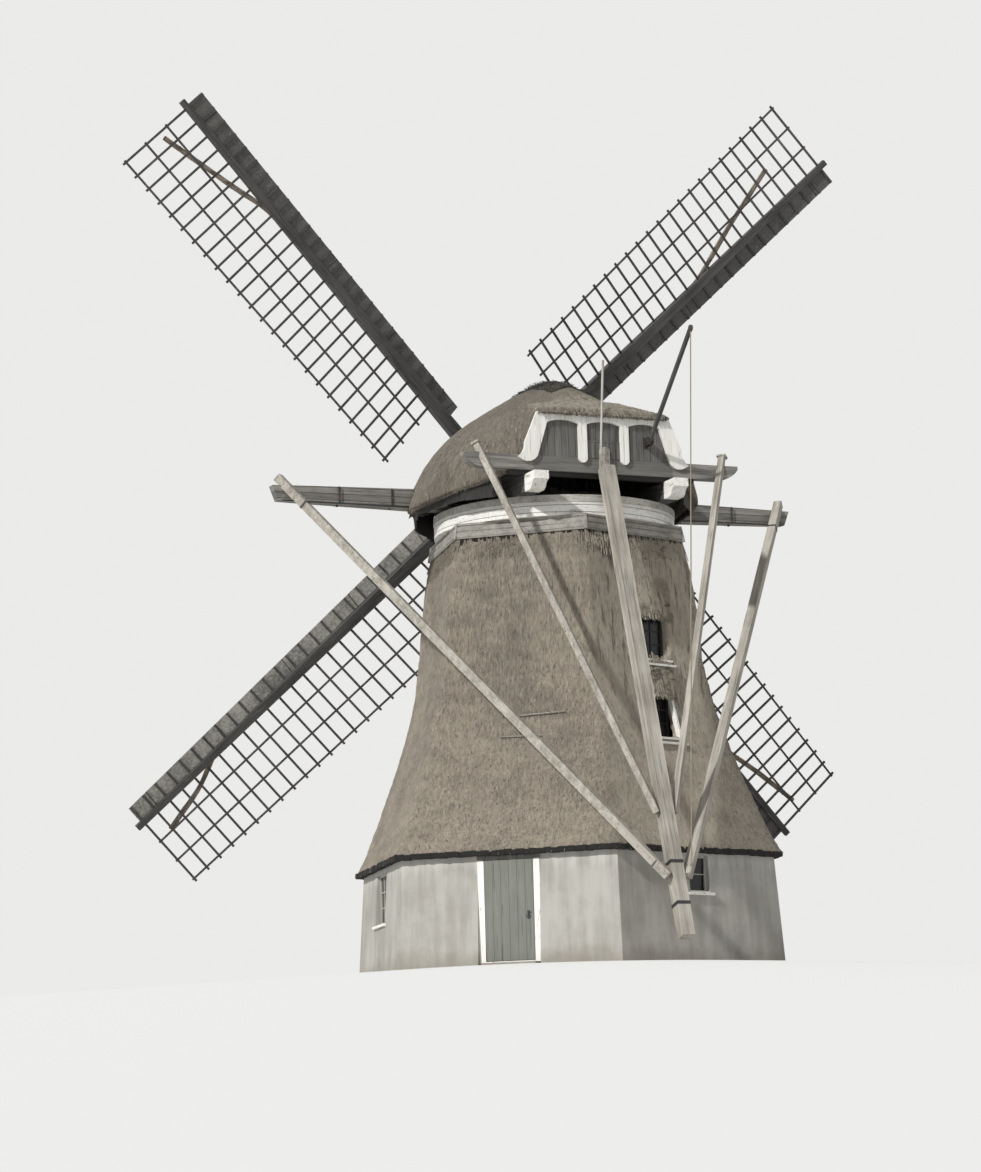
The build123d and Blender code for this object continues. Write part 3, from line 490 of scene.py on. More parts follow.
@dataclass(frozen=True)
class Canvas:
    """Tanned sailcloth."""

    name: str = "sailcloth"
    light: Colour = (0.30, 0.25, 0.19)
    dark: Colour = (0.12, 0.10, 0.078)

    def build(self) -> bpy.types.Material:
        """Make the material.

        Returns:
            The material, ready to put on a piece.
        """
        shop = Shop(self.name)
        run = shop.run()
        bands = {"Vector": run, "Scale": 60.0, "Distortion": 1.5}
        weave = shop.make("ShaderNodeTexWave", {"wave_type": "BANDS"}, bands)
        folds = shop.drawn(run, (30.0, 3.0, 30.0), 3.0, 0.6)
        stains = shop.cloud(shop.place(), 2.5, 4.0, 0.6)
        colour = shop.mix((folds * 0.5 + stains * 0.5).between(0.38, 0.62), self.dark, self.light)
        return shop.close(colour, 0.9, folds * 0.8 + weave * 0.2, 0.012, Sheen_Weight=0.2)


@dataclass(frozen=True)
class Rope:
    """Laid hemp, its strands turning round the rope."""

    name: str = "hemp"
    light: Colour = (0.42, 0.36, 0.27)
    dark: Colour = (0.16, 0.13, 0.09)

    def build(self) -> bpy.types.Material:
        """Make the material.

        Returns:
            The material, ready to put on a piece.
        """
        shop = Shop(self.name)
        at = shop.place()
        bands = {"Vector": at, "Scale": 30.0, "Distortion": 0.5}
        strands = shop.make("ShaderNodeTexWave", {"wave_type": "BANDS", "bands_direction": "DIAGONAL"},
                            bands, out="Fac")
        fluff = shop.cloud(at, 120.0, 2.0, 0.6)
        colour = shop.mix(strands * 0.7 + fluff * 0.3, self.dark, self.light)
        return shop.close(colour, 0.9, strands, 0.004)


@dataclass(frozen=True)
class Brick:
    """A worn brick floor."""

    name: str = "brick_floor"
    light: Colour = (0.26, 0.13, 0.09)
    dark: Colour = (0.15, 0.08, 0.06)
    joint: Colour = (0.22, 0.20, 0.18)

    def build(self) -> bpy.types.Material:
        """Make the material.

        Returns:
            The material, ready to put on a piece.
        """
        shop = Shop(self.name)
        bricks = {"Vector": shop.place(), "Scale": 1.0, "Color1": (*self.light, 1.0),
                  "Color2": (*self.dark, 1.0), "Mortar": (*self.joint, 1.0), "Mortar Size": 0.008,
                  "Brick Width": 0.22, "Row Height": 0.06}
        colour = shop.make("ShaderNodeTexBrick", values=bricks, out="Color")
        joints = shop.make("ShaderNodeTexBrick", values=bricks, out="Fac")
        return shop.close(colour, 0.85, 1.0 - joints, 0.006)


class Wood(Enum):
    """How a timber is finished: its light and dark colours and what shows where the finish is gone."""

    OAK = ((0.46, 0.43, 0.37), (0.20, 0.18, 0.15), None)
    WHITE = ((0.86, 0.85, 0.80), (0.68, 0.66, 0.60), (0.30, 0.27, 0.23))
    TAR = ((0.085, 0.08, 0.074), (0.025, 0.024, 0.022), (0.17, 0.155, 0.135))
    GREY = ((0.36, 0.34, 0.30), (0.17, 0.16, 0.14), None)
    PALE = ((0.50, 0.48, 0.43), (0.26, 0.25, 0.22), (0.20, 0.18, 0.15))
    GABLE = ((0.17, 0.162, 0.145), (0.095, 0.09, 0.08), None)
    BEAM = ((0.30, 0.285, 0.25), (0.10, 0.095, 0.085), None)
    DOOR = ((0.190, 0.195, 0.166), (0.145, 0.150, 0.128), None)
    # Near black: painted shade. It is used for the soffit, the apron and the packing board under the cap, and
    # for the frames and bars of the windows in the thatch.
    PAINTED_SHADE = ((0.030, 0.028, 0.025), (0.010, 0.0095, 0.009), None)

    def along(self, name: str, grain: Vector, across: Vector | None = None,
              board: float = 0.2) -> bpy.types.Material:
        """The finish on a timber, or on boards laid side by side.

        Args:
            name: what the material is for.
            grain: direction of the grain.
            across: direction across the boards, or None for one timber.
            board: width of a board, in metres.

        Returns:
            The material.
        """
        light, dark, wear = self.value
        title = f"{self.name.lower()}_{name}"
        return Timber(title, light, dark, grain.normalized(), wear=wear, across=across, board=board).build()


@dataclass(frozen=True)
class TwoTone:
    """A timber that is finished one way up to a place along a direction, and another way past it."""

    name: str
    first: Wood
    second: Wood
    grain: Vector
    way: Vector
    edge: float
    both_sides: bool = False

    def build(self) -> bpy.types.Material:
        """Make the material.

        Returns:
            The material, ready to put on a piece.
        """
        shop = Shop(self.name)
        place = shop.place()
        at = shop.along(place, self.grain)
        fibres = shop.drawn(at, (1.6, 55.0, 55.0), 4.0, 0.6)
        streaks = shop.drawn(at, (0.5, 9.0, 9.0), 3.0, 0.55)
        flakes = shop.drawn(at, (2.0, 14.0, 14.0), 4.0, 0.65).between(0.57, 0.66)
        tone = (fibres * 0.5 + streaks * 0.5).between(0.34, 0.66)
        sides = []
        for wood in (self.first, self.second):
            light, dark, wear = wood.value
            colour = shop.mix(tone, dark, light)
            sides.append(shop.mix(flakes * 0.7, colour, wear) if wear is not None else colour)
        reach = shop.reach(place, self.way)
        if self.both_sides:
            reach = reach.size()
        past = (reach + fibres * 0.05).between(self.edge, self.edge + 0.03)
        return shop.close(shop.mix(past, sides[0], sides[1]), 0.8, fibres * 0.5, 0.004)


class Dresser:
    """Gives the frame's own nodes their finish."""

    def __init__(self, nodes: dict[str, bpy.types.Object]) -> None:
        """Keep the frame's nodes by name."""
        self.nodes = nodes

    def dress(self, name: str, material: bpy.types.Material, edge: float = 0.0) -> None:
        """Put a material on a node, and take the sharpness off its edges.

        Args:
            name: the node.
            material: its finish.
            edge: width of the rounding of its edges in metres, or 0 for none.
        """
        node = self.nodes[name]
        node.data.materials.clear()
        node.data.materials.append(material)
        if edge:
            soften(node, edge)
        LOG.info("dressed %s", name)


class Pile:
    """Gathers many small pieces into one mesh, each with its place on the finish."""

    def __init__(self) -> None:
        """Start with nothing."""
        self.points: list[Vector] = []
        self.faces: list[list[int]] = []
        self.runs: list[Vector] = []

    def add(self, points: Sequence[Vector], faces: Iterable[Sequence[int]],
            runs: Sequence[Vector] | None = None) -> None:
        """Add points and the faces between them.

        Args:
            points: the new points.
            faces: numbers of the points of each face, counted from the first new one.
            runs: place of each point on the finish, or None for its place in the mill.
        """
        first = len(self.points)
        self.points.extend(points)
        self.runs.extend(runs if runs is not None else points)
        self.faces.extend([[first + index for index in face] for face in faces])

    def bar(self, start: Vector, end: Vector, width: float, depth: float, side: Vector,
            edge: float = 0.006) -> None:
        """A straight timber with its long edges taken off.

        Args:
            start: middle of one end.
            end: middle of the other end.
            width: size along side.
            depth: size across it.
            side: roughly the direction of the width.
            edge: how much of each corner is gone.
        """
        along = (end - start).normalized()
        across = (side - along * side.dot(along)).normalized()
        other = along.cross(across)
        w, d = width / 2, depth / 2
        corners = [(w - edge, d), (w, d - edge), (w, edge - d), (w - edge, -d),
                   (edge - w, -d), (-w, edge - d), (-w, d - edge), (edge - w, d)]
        points = [start + (across * a + other * b) for a, b in corners]
        points += [end + across * a + other * b for a, b in corners]
        faces: list[Sequence[int]] = [[i, (i + 1) % 8, (i + 1) % 8 + 8, i + 8] for i in range(8)]
        faces += [list(range(8))[::-1], list(range(8, 16))]
        shift = Vector((random.random() * 9.0, random.random() * 9.0, random.random() * 9.0))
        self.add(points, faces, [p + shift for p in points])

    def straw(self, root: Vector, tip: Vector, radius: float) -> None:
        """One reed end as a thin three-sided spike.

        Args:
            root: middle of its thick end.
            tip: its free end.
            radius: at the root.
        """
        along = (tip - root).normalized()
        side = along.orthogonal().normalized()
        other = along.cross(side)
        turns = [side * math.cos(a) + other * math.sin(a) for a in (0.0, 2.094, 4.189)]
        points = [root + t * radius for t in turns] + [tip + t * radius * 0.7 for t in turns]
        self.add(points, [[0, 1, 4, 3], [1, 2, 5, 4], [2, 0, 3, 5], [3, 4, 5]])

    def ring(self, middle: Vector, axis: Vector, radius: float, thick: float, around: int = 20,
             section: int = 8) -> None:
        """A round ring, such as a turn of rope or a pull ring.

        Args:
            middle: its middle.
            axis: the way it faces.
            radius: of the ring's middle line.
            thick: radius of its section.
            around: points round the ring.
            section: points round the section.
        """
        side = axis.orthogonal().normalized()
        other = axis.normalized().cross(side)
        points, faces = [], []
        for step in range(around):
            turn = math.tau * step / around
            out = side * math.cos(turn) + other * math.sin(turn)
            for place in range(section):
                angle = math.tau * place / section
                reach = radius + thick * math.cos(angle)
                points.append(middle + out * reach + axis.normalized() * thick * math.sin(angle))
        for step in range(around):
            for place in range(section):
                a, b = step * section + place, step * section + (place + 1) % section
                c, d = (b + section) % (around * section), (a + section) % (around * section)
                faces.append([a, b, c, d])
        self.add(points, faces)

    def band(self, middle: Vector, along: Vector, side: Vector, size: tuple[float, float], length: float,
             thick: float) -> None:
        """A flat iron band round a squared timber.

        Args:
            middle: its middle.
            along: the timber's direction.
            side: the direction of the timber's width.
            size: the timber's width and depth.
            length: how much of the timber it covers.
            thick: of the iron.
        """
        other = along.cross(side).normalized()
        w, d = (measure / 2 + thick / 2 for measure in size)
        for across, reach, half in ((side, w, d), (side * -1.0, w, d), (other, d, w), (other * -1.0, d, w)):
            level = along.cross(across).normalized()
            face = middle + across * reach
            ends = (face - level * (half + thick / 2), face + level * (half + thick / 2))
            self.bar(*ends, length, thick, along, thick * 0.25)

    def finish(self, name: str, body: str, material: bpy.types.Material, slot: str,
               replaces: Sequence[str] = (), smooth: bool = False) -> bpy.types.Object:
        """Close the pile.

        Args:
            name: name of the piece.
            body: the body that it rides on.
            material: its finish.
            slot: the record's slot of that finish, which is not used.
            replaces: nodes that it stands for.
            smooth: whether its faces are shaded smooth.

        Returns:
            The piece.
        """
        mesh = bpy.data.meshes.new(name)
        mesh.from_pydata([tuple(p) for p in self.points], [], self.faces)
        store_run(mesh, [tuple(r) for r in self.runs])
        return settle(placed(name, mesh), body, material, replaces, smooth)


def placed(name: str, data: bpy.types.ID) -> bpy.types.Object:
    """A new object in the scene.

    Args:
        name: its name.
        data: its mesh, curve, camera or lamp.

    Returns:
        The object.
    """
    thing = bpy.data.objects.new(name, data)
    bpy.context.scene.collection.objects.link(thing)
    return thing


def store_run(mesh: bpy.types.Mesh, runs: Sequence[Sequence[float]] | np.ndarray) -> None:
    """Store where each point lies on the finish."""
    layer = mesh.attributes.new("run", "FLOAT_VECTOR", "POINT")
    layer.data.foreach_set("vector", np.asarray(runs, dtype=np.float32).ravel())


def settle(piece: bpy.types.Object, body: str, material: bpy.types.Material,
           replaces: Sequence[str] = (), smooth: bool = True) -> bpy.types.Object:
    """Give a new piece its finish, its body and the nodes that it stands for.

    Args:
        piece: the piece.
        body: the body that it rides on.
        material: its finish.
        replaces: nodes that it stands for.
        smooth: whether its faces are shaded smooth.

    Returns:
        The piece.
    """
    piece.data.materials.clear()
    piece.data.materials.append(material)
    if smooth:
        piece.data.shade_smooth()
    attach(piece, body)
    if replaces:
        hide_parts(*replaces)
    LOG.info("%s: %d faces", piece.name, len(piece.data.polygons))
    return piece


@dataclass
class ThatchCoat:
    """Reed grown over the plain solids: one skin with soft hips, lumps and a ragged eave."""

    nodes: dict[str, bpy.types.Object]
    material: bpy.types.Material
    voxel: float = 0.065
    lumps: tuple[tuple[float, float], ...] = ((1.4, 0.030), (0.45, 0.016), (0.16, 0.009))
    smoothing: int = 5
    softness: float = 0.6

    def grow(self, name: str, members: Sequence[str], body: str, run: Callable[[np.ndarray], np.ndarray],
             swellings: Pile) -> bpy.types.Object:
        """Make one coat.

        Args:
            name: name of the new piece.
            members: the nodes that it covers and stands for.
            body: the body that it rides on.
            run: from points to their places along the reed.
            swellings: closed solids that the coat grows over as well, such as a hood over a window.

        Returns:
            The coat.
        """
        coat = self.joined(name, members, swellings)
        remesh = coat.modifiers.new("felt", "REMESH")
        remesh.mode = "VOXEL"
        remesh.voxel_size = self.voxel
        smooth = coat.modifiers.new("soften", "SMOOTH")
        smooth.factor = self.softness
        smooth.iterations = self.smoothing
        graph = bpy.context.evaluated_depsgraph_get()
        mesh = bpy.data.meshes.new_from_object(coat.evaluated_get(graph))
        coat.modifiers.clear()
        coat.data = mesh
        self.lump(mesh)
        store_run(mesh, run(points_of(mesh)))
        return settle(coat, body, self.material, members)

    def joined(self, name: str, members: Sequence[str], swellings: Pile) -> bpy.types.Object:
        """Copy the nodes and the swellings into one object.

        Args:
            name: name of the new piece.
            members: the nodes.
            swellings: the closed solids.

        Returns:
            The object, which has no finish yet.
        """
        copies = [placed(f"{name}_{member}", self.nodes[member].data.copy()) for member in members]
        mesh = bpy.data.meshes.new(f"{name}_swellings")
        mesh.from_pydata([tuple(p) for p in swellings.points], [], swellings.faces)
        copies.append(placed(f"{name}_swellings", mesh))
        coat = copies[0]
        chosen = {"active_object": coat, "object": coat, "selected_objects": copies,
                  "selected_editable_objects": copies}
        with bpy.context.temp_override(**chosen):
            bpy.ops.object.join()
        coat.name = name
        coat.data.name = name
        return coat

    def lump(self, mesh: bpy.types.Mesh) -> None:
        """Push the skin in and out along its normals.

        Args:
            mesh: the skin.
        """
        points = points_of(mesh)
        normals = np.empty(len(mesh.vertices) * 3, np.float32)
        mesh.vertex_normals.foreach_get("vector", normals)
        normals = normals.reshape(-1, 3)
        shift = np.zeros(len(points))
        for number, (size, depth) in enumerate(self.lumps):
            offset = Vector((7.3 * number, 1.9 * number, 3.1 * number))
            shift += [depth * noise.noise(Vector(p) / size + offset) for p in points]
        moved = points + normals * shift[:, None]
        mesh.vertices.foreach_set("co", moved.astype(np.float32).ravel())
        mesh.update()


class Skin:
    """The outside of the cap's coat, on which later pieces are laid."""

    def __init__(self, coat: bpy.types.Object) -> None:
        """Read the coat's faces.

        Args:
            coat: the coat in its final shape.
        """
        mesh = coat.data
        points = [vertex.co.copy() for vertex in mesh.vertices]
        self.tree = BVHTree.FromPolygons(points, [tuple(face.vertices) for face in mesh.polygons])
        self.above = 16.0

    def drop(self, back: float, right: float) -> Vector | None:
        """Where a plumb line over a place of the cap meets the coat."""
        return self.tree.ray_cast(in_cap(back, right, self.above), -UP)[0]


def reshaped(source: bpy.types.Object, name: str, move: Callable[[Vector], Vector]) -> bpy.types.Object:
    """A copy of a node with each of its points moved.

    Args:
        source: the node.
        name: of the copy.
        move: from a point to its new place.

    Returns:
        The copy, which has no finish and no body yet.
    """
    mesh = source.data.copy()
    mesh.name = name
    for vertex in mesh.vertices:
        vertex.co = move(vertex.co.copy())
    return placed(name, mesh)


def soften(piece: bpy.types.Object, edge: float) -> None:
    """Take the sharpness off a piece's edges.

    Args:
        piece: the piece.
        edge: width of the chamfer, in metres.
    """
    bevel = piece.modifiers.new("worn_edges", "BEVEL")
    bevel.width = edge
    bevel.segments = 1
    bevel.angle_limit = math.radians(40.0)


def points_of(mesh: bpy.types.Mesh) -> np.ndarray:
    """The mesh's points as an array.

    Args:
        mesh: the mesh.

    Returns:
        One row for each point.
    """
    flat = np.empty(len(mesh.vertices) * 3, np.float32)
    mesh.vertices.foreach_get("co", flat)
    return flat.reshape(-1, 3).astype(float)


def body_run(points: np.ndarray) -> np.ndarray:
    """Reed of the body: round the tower, then down the slope.

    Args:
        points: points of the coat.

    Returns:
        Place of each point on the finish.
    """
    angle = np.arctan2(points[:, 1], points[:, 0])
    return np.stack([angle * 4.2, points[:, 2], np.hypot(points[:, 0], points[:, 1])], axis=1)


def cap_run(points: np.ndarray) -> np.ndarray:
    """Reed of the cap: round its middle, then down from the ridge.

    Args:
        points: points of the coat.

    Returns:
        Place of each point on the finish.
    """
    back = points @ np.array(TAIL)
    right = points @ np.array(RIGHT)
    angle = np.arctan2(right, back)
    reach = np.hypot(right, back)
    return np.stack([angle * 2.6, np.hypot(reach, points[:, 2] - 9.0), reach * 0.6], axis=1)


@dataclass
class Studio:
    """Pale floor and backdrop, soft light, and the camera of the photograph."""

    eye: Vector = field(default_factory=lambda: Vector((21.672, -72.602, -3.551)))
    yaw: float = math.radians(17.775)
    pitch: float = math.radians(9.447)
    roll: float = math.radians(-1.612)
    focal: float = 3291.6
    long_side: float = 1172.0
    pale: Colour = (0.80, 0.795, 0.77)
    level: float = 5.6
    fall: float = 0.064
    sky: Colour = (0.96, 0.97, 1.0)
    sky_light: float = 0.50
    backdrop: Colour = (0.83, 0.83, 0.82)
    sun_light: float = 3.1
    sun_spread: float = math.radians(2.5)
    sun_way: tuple[float, float, float] = (0.324, 0.770, -0.549)
    sensor: float = 36.0
    spokes: int = 96
    rings: tuple[float, ...] = (7.0, 9.0, 12.0, 16.0, 22.0, 30.0, 45.0, 65.0, 95.0, 140.0)

    def camera(self) -> None:
        """Stand the camera where the photograph was taken."""
        reach = math.cos(self.pitch)
        ahead = Vector((-math.sin(self.yaw) * reach, math.cos(self.yaw) * reach, math.sin(self.pitch)))
        level = Vector((math.cos(self.yaw), math.sin(self.yaw), 0.0))
        upright = level.cross(ahead)
        right = level * math.cos(self.roll) + upright * math.sin(self.roll)
        up = upright * math.cos(self.roll) - level * math.sin(self.roll)
        data = bpy.data.cameras.new("camera")
        data.sensor_width = self.sensor
        data.lens = self.sensor * self.focal / self.long_side
        data.clip_end = 1000.0
        camera = placed("camera", data)
        camera.matrix_world = Matrix.Translation(self.eye) @ Matrix((right, up, -ahead)).transposed().to_4x4()
        bpy.context.scene.camera = camera

    def floor(self) -> None:
        """Lay the floor: level under the mill, then falling away, because the camera stands lower."""
        shop = Shop("pale_floor")
        matt = shop.make("ShaderNodeBsdfDiffuse", values={"Color": (*self.pale, 1.0)})
        shop.make_output(matt)
        spokes = self.spokes
        radii = (0.0, 4.0, self.level, *self.rings)
        points, faces = [], []
        for radius in radii:
            height = -self.fall * max(0.0, radius - self.level)
            for spoke in range(spokes):
                angle = math.tau * spoke / spokes
                points.append((radius * math.cos(angle), radius * math.sin(angle), height))
        for row in range(len(radii) - 1):
            for spoke in range(spokes):
                here, there = row * spokes + spoke, row * spokes + (spoke + 1) % spokes
                faces.append([here, there, there + spokes, here + spokes])
        mesh = bpy.data.meshes.new("floor")
        mesh.from_pydata(points, [], faces)
        mesh.materials.append(shop.material)
        mesh.shade_smooth()
        placed("floor", mesh)

    def sun(self) -> None:
        """Set a broad sun on the left."""
        sun = bpy.data.lights.new("sun", "SUN")
        sun.energy = self.sun_light
        sun.angle = self.sun_spread
        lamp = placed("sun", sun)
        lamp.rotation_euler = Vector(self.sun_way).to_track_quat("-Z", "Y").to_euler()

    def air(self) -> None:
        """An even sky, and the pale backdrop that the camera, reflections and panes show instead."""
        world = bpy.data.worlds.new("sky")
        bpy.context.scene.world = world
        world.use_nodes = True
        tree = world.node_tree
        tree.nodes.clear()
        path = tree.nodes.new("ShaderNodeLightPath")
        seen = path.outputs["Is Camera Ray"]
        for ray in ("Is Glossy Ray", "Is Transmission Ray"):
            either = tree.nodes.new("ShaderNodeMath")
            either.operation = "MAXIMUM"
            tree.links.new(seen, either.inputs[0])
            tree.links.new(path.outputs[ray], either.inputs[1])
            seen = either.outputs[0]
        shades = []
        for colour, strength in ((self.sky, self.sky_light), (self.backdrop, 1.0)):
            shade = tree.nodes.new("ShaderNodeBackground")
            shade.inputs["Color"].default_value = (*colour, 1.0)
            shade.inputs["Strength"].default_value = strength
            shades.append(shade)
        mix = tree.nodes.new("ShaderNodeMixShader")
        tree.links.new(seen, mix.inputs[0])
        tree.links.new(shades[0].outputs[0], mix.inputs[1])
        tree.links.new(shades[1].outputs[0], mix.inputs[2])
        output = tree.nodes.new("ShaderNodeOutputWorld")
        tree.links.new(mix.outputs[0], output.inputs["Surface"])


def cut_side(points: Sequence[Vector]) -> list[list[int]]:
    """Faces of a closed solid between two rings of the same number of points.

    Args:
        points: the first ring, then the second one.

    Returns:
        Its faces.
    """
    count = len(points) // 2
    faces = [[i, (i + 1) % count, (i + 1) % count + count, i + count] for i in range(count)]
    return faces + [list(range(count))[::-1], list(range(count, 2 * count))]


def slab_faces(rows: int, count: int) -> list[list[int]]:
    """Faces of a slab whose top and underside are grids of points.

    Args:
        rows: rows of each grid.
        count: points in a row.

    Returns:
        Its faces, counted through the top and then through the underside.
    """
    base = rows * count
    faces = []
    for r in range(rows - 1):
        for c in range(count - 1):
            a = r * count + c
            b = base + a
            faces += [[a, a + 1, a + count + 1, a + count], [b, b + count, b + count + 1, b + 1]]
        for c in (0, count - 1):
            a = r * count + c
            faces.append([a, a + count, base + a + count, base + a])
    for r in (0, rows - 1):
        for c in range(count - 1):
            a = r * count + c
            faces.append([a, a + 1, base + a + 1, base + a])
    return faces


class Facet:
    """One side of the tower: places on it are given along it, out from the centre, and up."""

    def __init__(self, number: int) -> None:
        """Find the facet's directions.

        Args:
            number: 0 to 5, of which 1 is over the door.
        """
        angle = math.radians(210.0 + 60.0 * number)
        self.out = Vector((math.cos(angle), math.sin(angle), 0.0))
        self.side = Vector((-math.sin(angle), math.cos(angle), 0.0))

    def at(self, along: float, out: float, up: float) -> Vector:
        """A point of the mill."""
        return self.side * along + self.out * out + UP * up

    def level(self, left: float, right: float, out: float, up: float) -> tuple[Vector, Vector]:
        """The two ends of a level bar."""
        return self.at(left, out, up), self.at(right, out, up)


@dataclass(frozen=True)
class Window:
    """One window: its facet, middle, width, sill, head, face, outer end of the reveal, and its panes."""

    facet: int
    middle: float
    width: float
    low: float
    high: float
    face: float
    reveal: float
    columns: int
    rows: int


@dataclass
class Tower:
    """Masonry foot, thatched body and timber head.

    A row of skirt holds the corner radius and the height of the thatch's face, from the eave up. A row of
    thatch_windows holds the middle, width, sill, head and face of a window that is let into the thatch.
    """

    nodes: dict[str, bpy.types.Object]
    reed: bpy.types.Material
    apothem: float = math.cos(math.pi / 6)
    batter: float = 0.0632
    foot_corner: float = 5.1
    foot_top: float = 2.76
    skirt: tuple[tuple[float, float], ...] = (
        (5.15, 2.50), (4.56, 3.64), (4.08, 4.90), (3.72, 5.90), (3.48, 7.05), (3.33, 8.40), (3.06, 9.80),
    )
    thatched: tuple[str, ...] = (
        "thatch_left", "thatch_door_side", "thatch_right", "thatch_back_right", "thatch_back",
        "thatch_back_left",
    )
    thatch_windows: tuple[tuple[float, ...], ...] = (
        (0.09, 1.04, 6.93, 7.96, 2.8162), (0.06, 0.80, 5.10, 6.12, 3.0719),
    )
    upper: float = 6.0
    shaded_above: float = 3.2
    lintel: float = 2.325
    door_half: float = 0.557
    door_low: float = 0.138
    door_high: float = 2.327
    door_face: float = 4.288
    door_planks: int = 6
    felt: float = 0.0715

    def build(self) -> None:
        """Make and dress everything that stands still."""
        self.dress()
        windows = self.windows()
        let_in = [window for window in windows if window.low > self.foot_top]
        coat = ThatchCoat(self.nodes, self.reed, voxel=self.felt)
        coat.grow("body_reed", self.thatched, "tower", body_run, self.hoods(let_in))
        self.fringe(let_in)
        self.bars(windows)
        self.sills(windows)
        self.door()
        self.sticks()
        self.head()

    def skin(self, height: float) -> float:
        """Distance of the thatch's face from the centre at a height.

        Args:
            height: over the ground.

        Returns:
            The distance.
        """
        corners = [corner for corner, _ in self.skirt]
        heights = [rise for _, rise in self.skirt]
        return float(np.interp(height, heights, corners)) * self.apothem

    def dress(self) -> None:
        """Finishes of the frame's own nodes."""
        dresser = Dresser(self.nodes)
        plaster = Plaster().build()
        for name in self.nodes:
            if name.startswith("wall_"):
                dresser.dress(name, plaster, 0.012)
        dresser.dress("ground_floor", Brick().build())
        # White paint up to the lintel. Above it the frame takes the dark gable colour as painted shade under
        # the eave.
        frame = TwoTone("door_frame_paint_and_shade", Wood.WHITE, Wood.GABLE, UP, UP, self.lintel)
        dresser.dress("door_frame", frame.build(), 0.006)
        # Pale paint on the windows in the foot. Frames above shaded_above are near black as painted shade in
        # the recesses of the windows in the thatch.
        frames = TwoTone("window_paint_and_shade", Wood.PALE, Wood.PAINTED_SHADE, UP, UP, self.shaded_above)
        dresser.dress("window_frames", frames.build(), 0.005)
        dresser.dress("window_glass", Glass().build())
        dresser.dress("door_leaf", Wood.DOOR.along("door", UP), 0.003)
        dresser.dress("head_boards", Wood.GREY.along("head", RIGHT, UP, 0.125), 0.004)
        dresser.dress("head_frame", Wood.GREY.along("frame", RIGHT))
        dresser.dress("curb_ring", Wood.WHITE.along("curb", RIGHT, UP, 0.16), 0.012)

    def windows(self) -> list[Window]:
        """Every window, in the foot and in the thatch.

        Returns:
            The windows.
        """
        found = []
        wall = self.foot_corner * self.apothem
        for facet in (0, 2, 3, 4, 5):
            small = facet == 2
            width, low, high = (0.62, 1.56, 2.38) if small else (1.20, 1.18, 2.34)
            columns, rows = (1, 2) if small else (3, 3)
            face = wall - self.batter * high - 0.06
            reveal = wall - self.batter * low
            found.append(Window(facet, 0.0, width, low, high, face, reveal, columns, rows))
        for facet in (2, 5):
            for middle, width, low, high, face in self.thatch_windows:
                found.append(Window(facet, middle, width, low, high, face, self.skin(low), 3, 3))
        return found

    def hoods(self, windows: Sequence[Window]) -> Pile:
        """Swellings of the thatch over the windows that are let into it.

        Args:
            windows: those windows.

        Returns:
            The swellings, as closed solids.
        """
        pile = Pile()
        for window in windows:
            rise = 1.15 if window.low > self.upper else 0.62
            half = window.width / 2
            levels = ((window.high - 0.06, half + 0.24, 0.13, 0.12),
                      (window.high + 0.3 * rise, half + 0.22, 0.10, 0.16),
                      (window.high + rise, half + 0.10, 0.0, 0.16))
            rings = [self.hood_outline(window, *level) for level in levels]
            for low, high in zip(rings, rings[1:]):
                pile.add(low + high, cut_side(low + high))
        return pile

    def hood_outline(self, window: Window, height: float, half: float, proud: float,
                     back: float) -> list[Vector]:
        """One level section of a hood.

        Args:
            window: the window under it.
            height: of the section.
            half: half its width.
            proud: how far it stands out of the thatch.
            back: how far it goes into the thatch.

        Returns:
            Its points, from one side round the front to the other.
        """
        facet = Facet(window.facet)
        out = self.skin(height)
        outline = ((half, -back), (half, -0.02), (half * 0.6, proud), (0.0, proud * 1.15),
                   (-half * 0.6, proud), (-half, -0.02), (-half, -back))
        return [facet.at(window.middle + along, out + deep, height) for along, deep in outline]

    def fringe(self, windows: Sequence[Window]) -> None:
        """Reed ends: under the eave, over the windows and round the top of the body.

        Args:
            windows: the windows that are let into the thatch.
        """
        pile, under = Pile(), Pile()
        run = random.Random(11)
        for number in range(6):
            facet = Facet(number)
            self.eave(pile, under, facet, run)
            self.butts(under, facet, run)
            self.neck_tufts(pile, facet, run)
        for window in windows:
            self.brow(pile, window, run)
        pile.finish("reed_ends", "tower", self.reed, "thatch")
        # Near-black reed for the ends behind the eave's edge and the butts below the eave and the head
        # boards: painted shade.
        painted_shade_reed = Thatch("shaded_reed", (0.026, 0.022, 0.018), (0.010, 0.009, 0.008), (0.02, 0.02, 0.015),
                      pale=(0.035, 0.03, 0.025))
        under.finish("eave_ends", "tower", painted_shade_reed.build(), "thatch")

    def eave(self, pile: Pile, under: Pile, facet: Facet, run: random.Random) -> None:
        """Reed ends under the eave of one facet.

        Args:
            pile: takes the outer ends.
            under: takes the shaded ones behind them.
            facet: the facet.
            run: draws the random numbers.
        """
        corner, eave = self.skirt[0]
        half = corner * 0.5
        edge = corner * self.apothem - 0.045
        count = int(2 * half / 0.012)
        for step in range(count):
            along = -half + 2 * half * (step + run.random()) / count
            inset = 0.015 + 0.24 * run.random() ** 1.2
            root = facet.at(along * (1.0 - inset / (half * 1.9)), edge - inset, eave + 0.06)
            out = facet.out * 0.46 * (0.6 + 0.5 * run.random())
            lean = out - UP * 0.89 + facet.side * (run.random() - 0.5) * 0.25
            straws = pile if inset < 0.05 else under
            length = 0.085 + 0.075 * run.random() ** 2
            straws.straw(root, root + lean * length, 0.0055 + 0.005 * run.random())

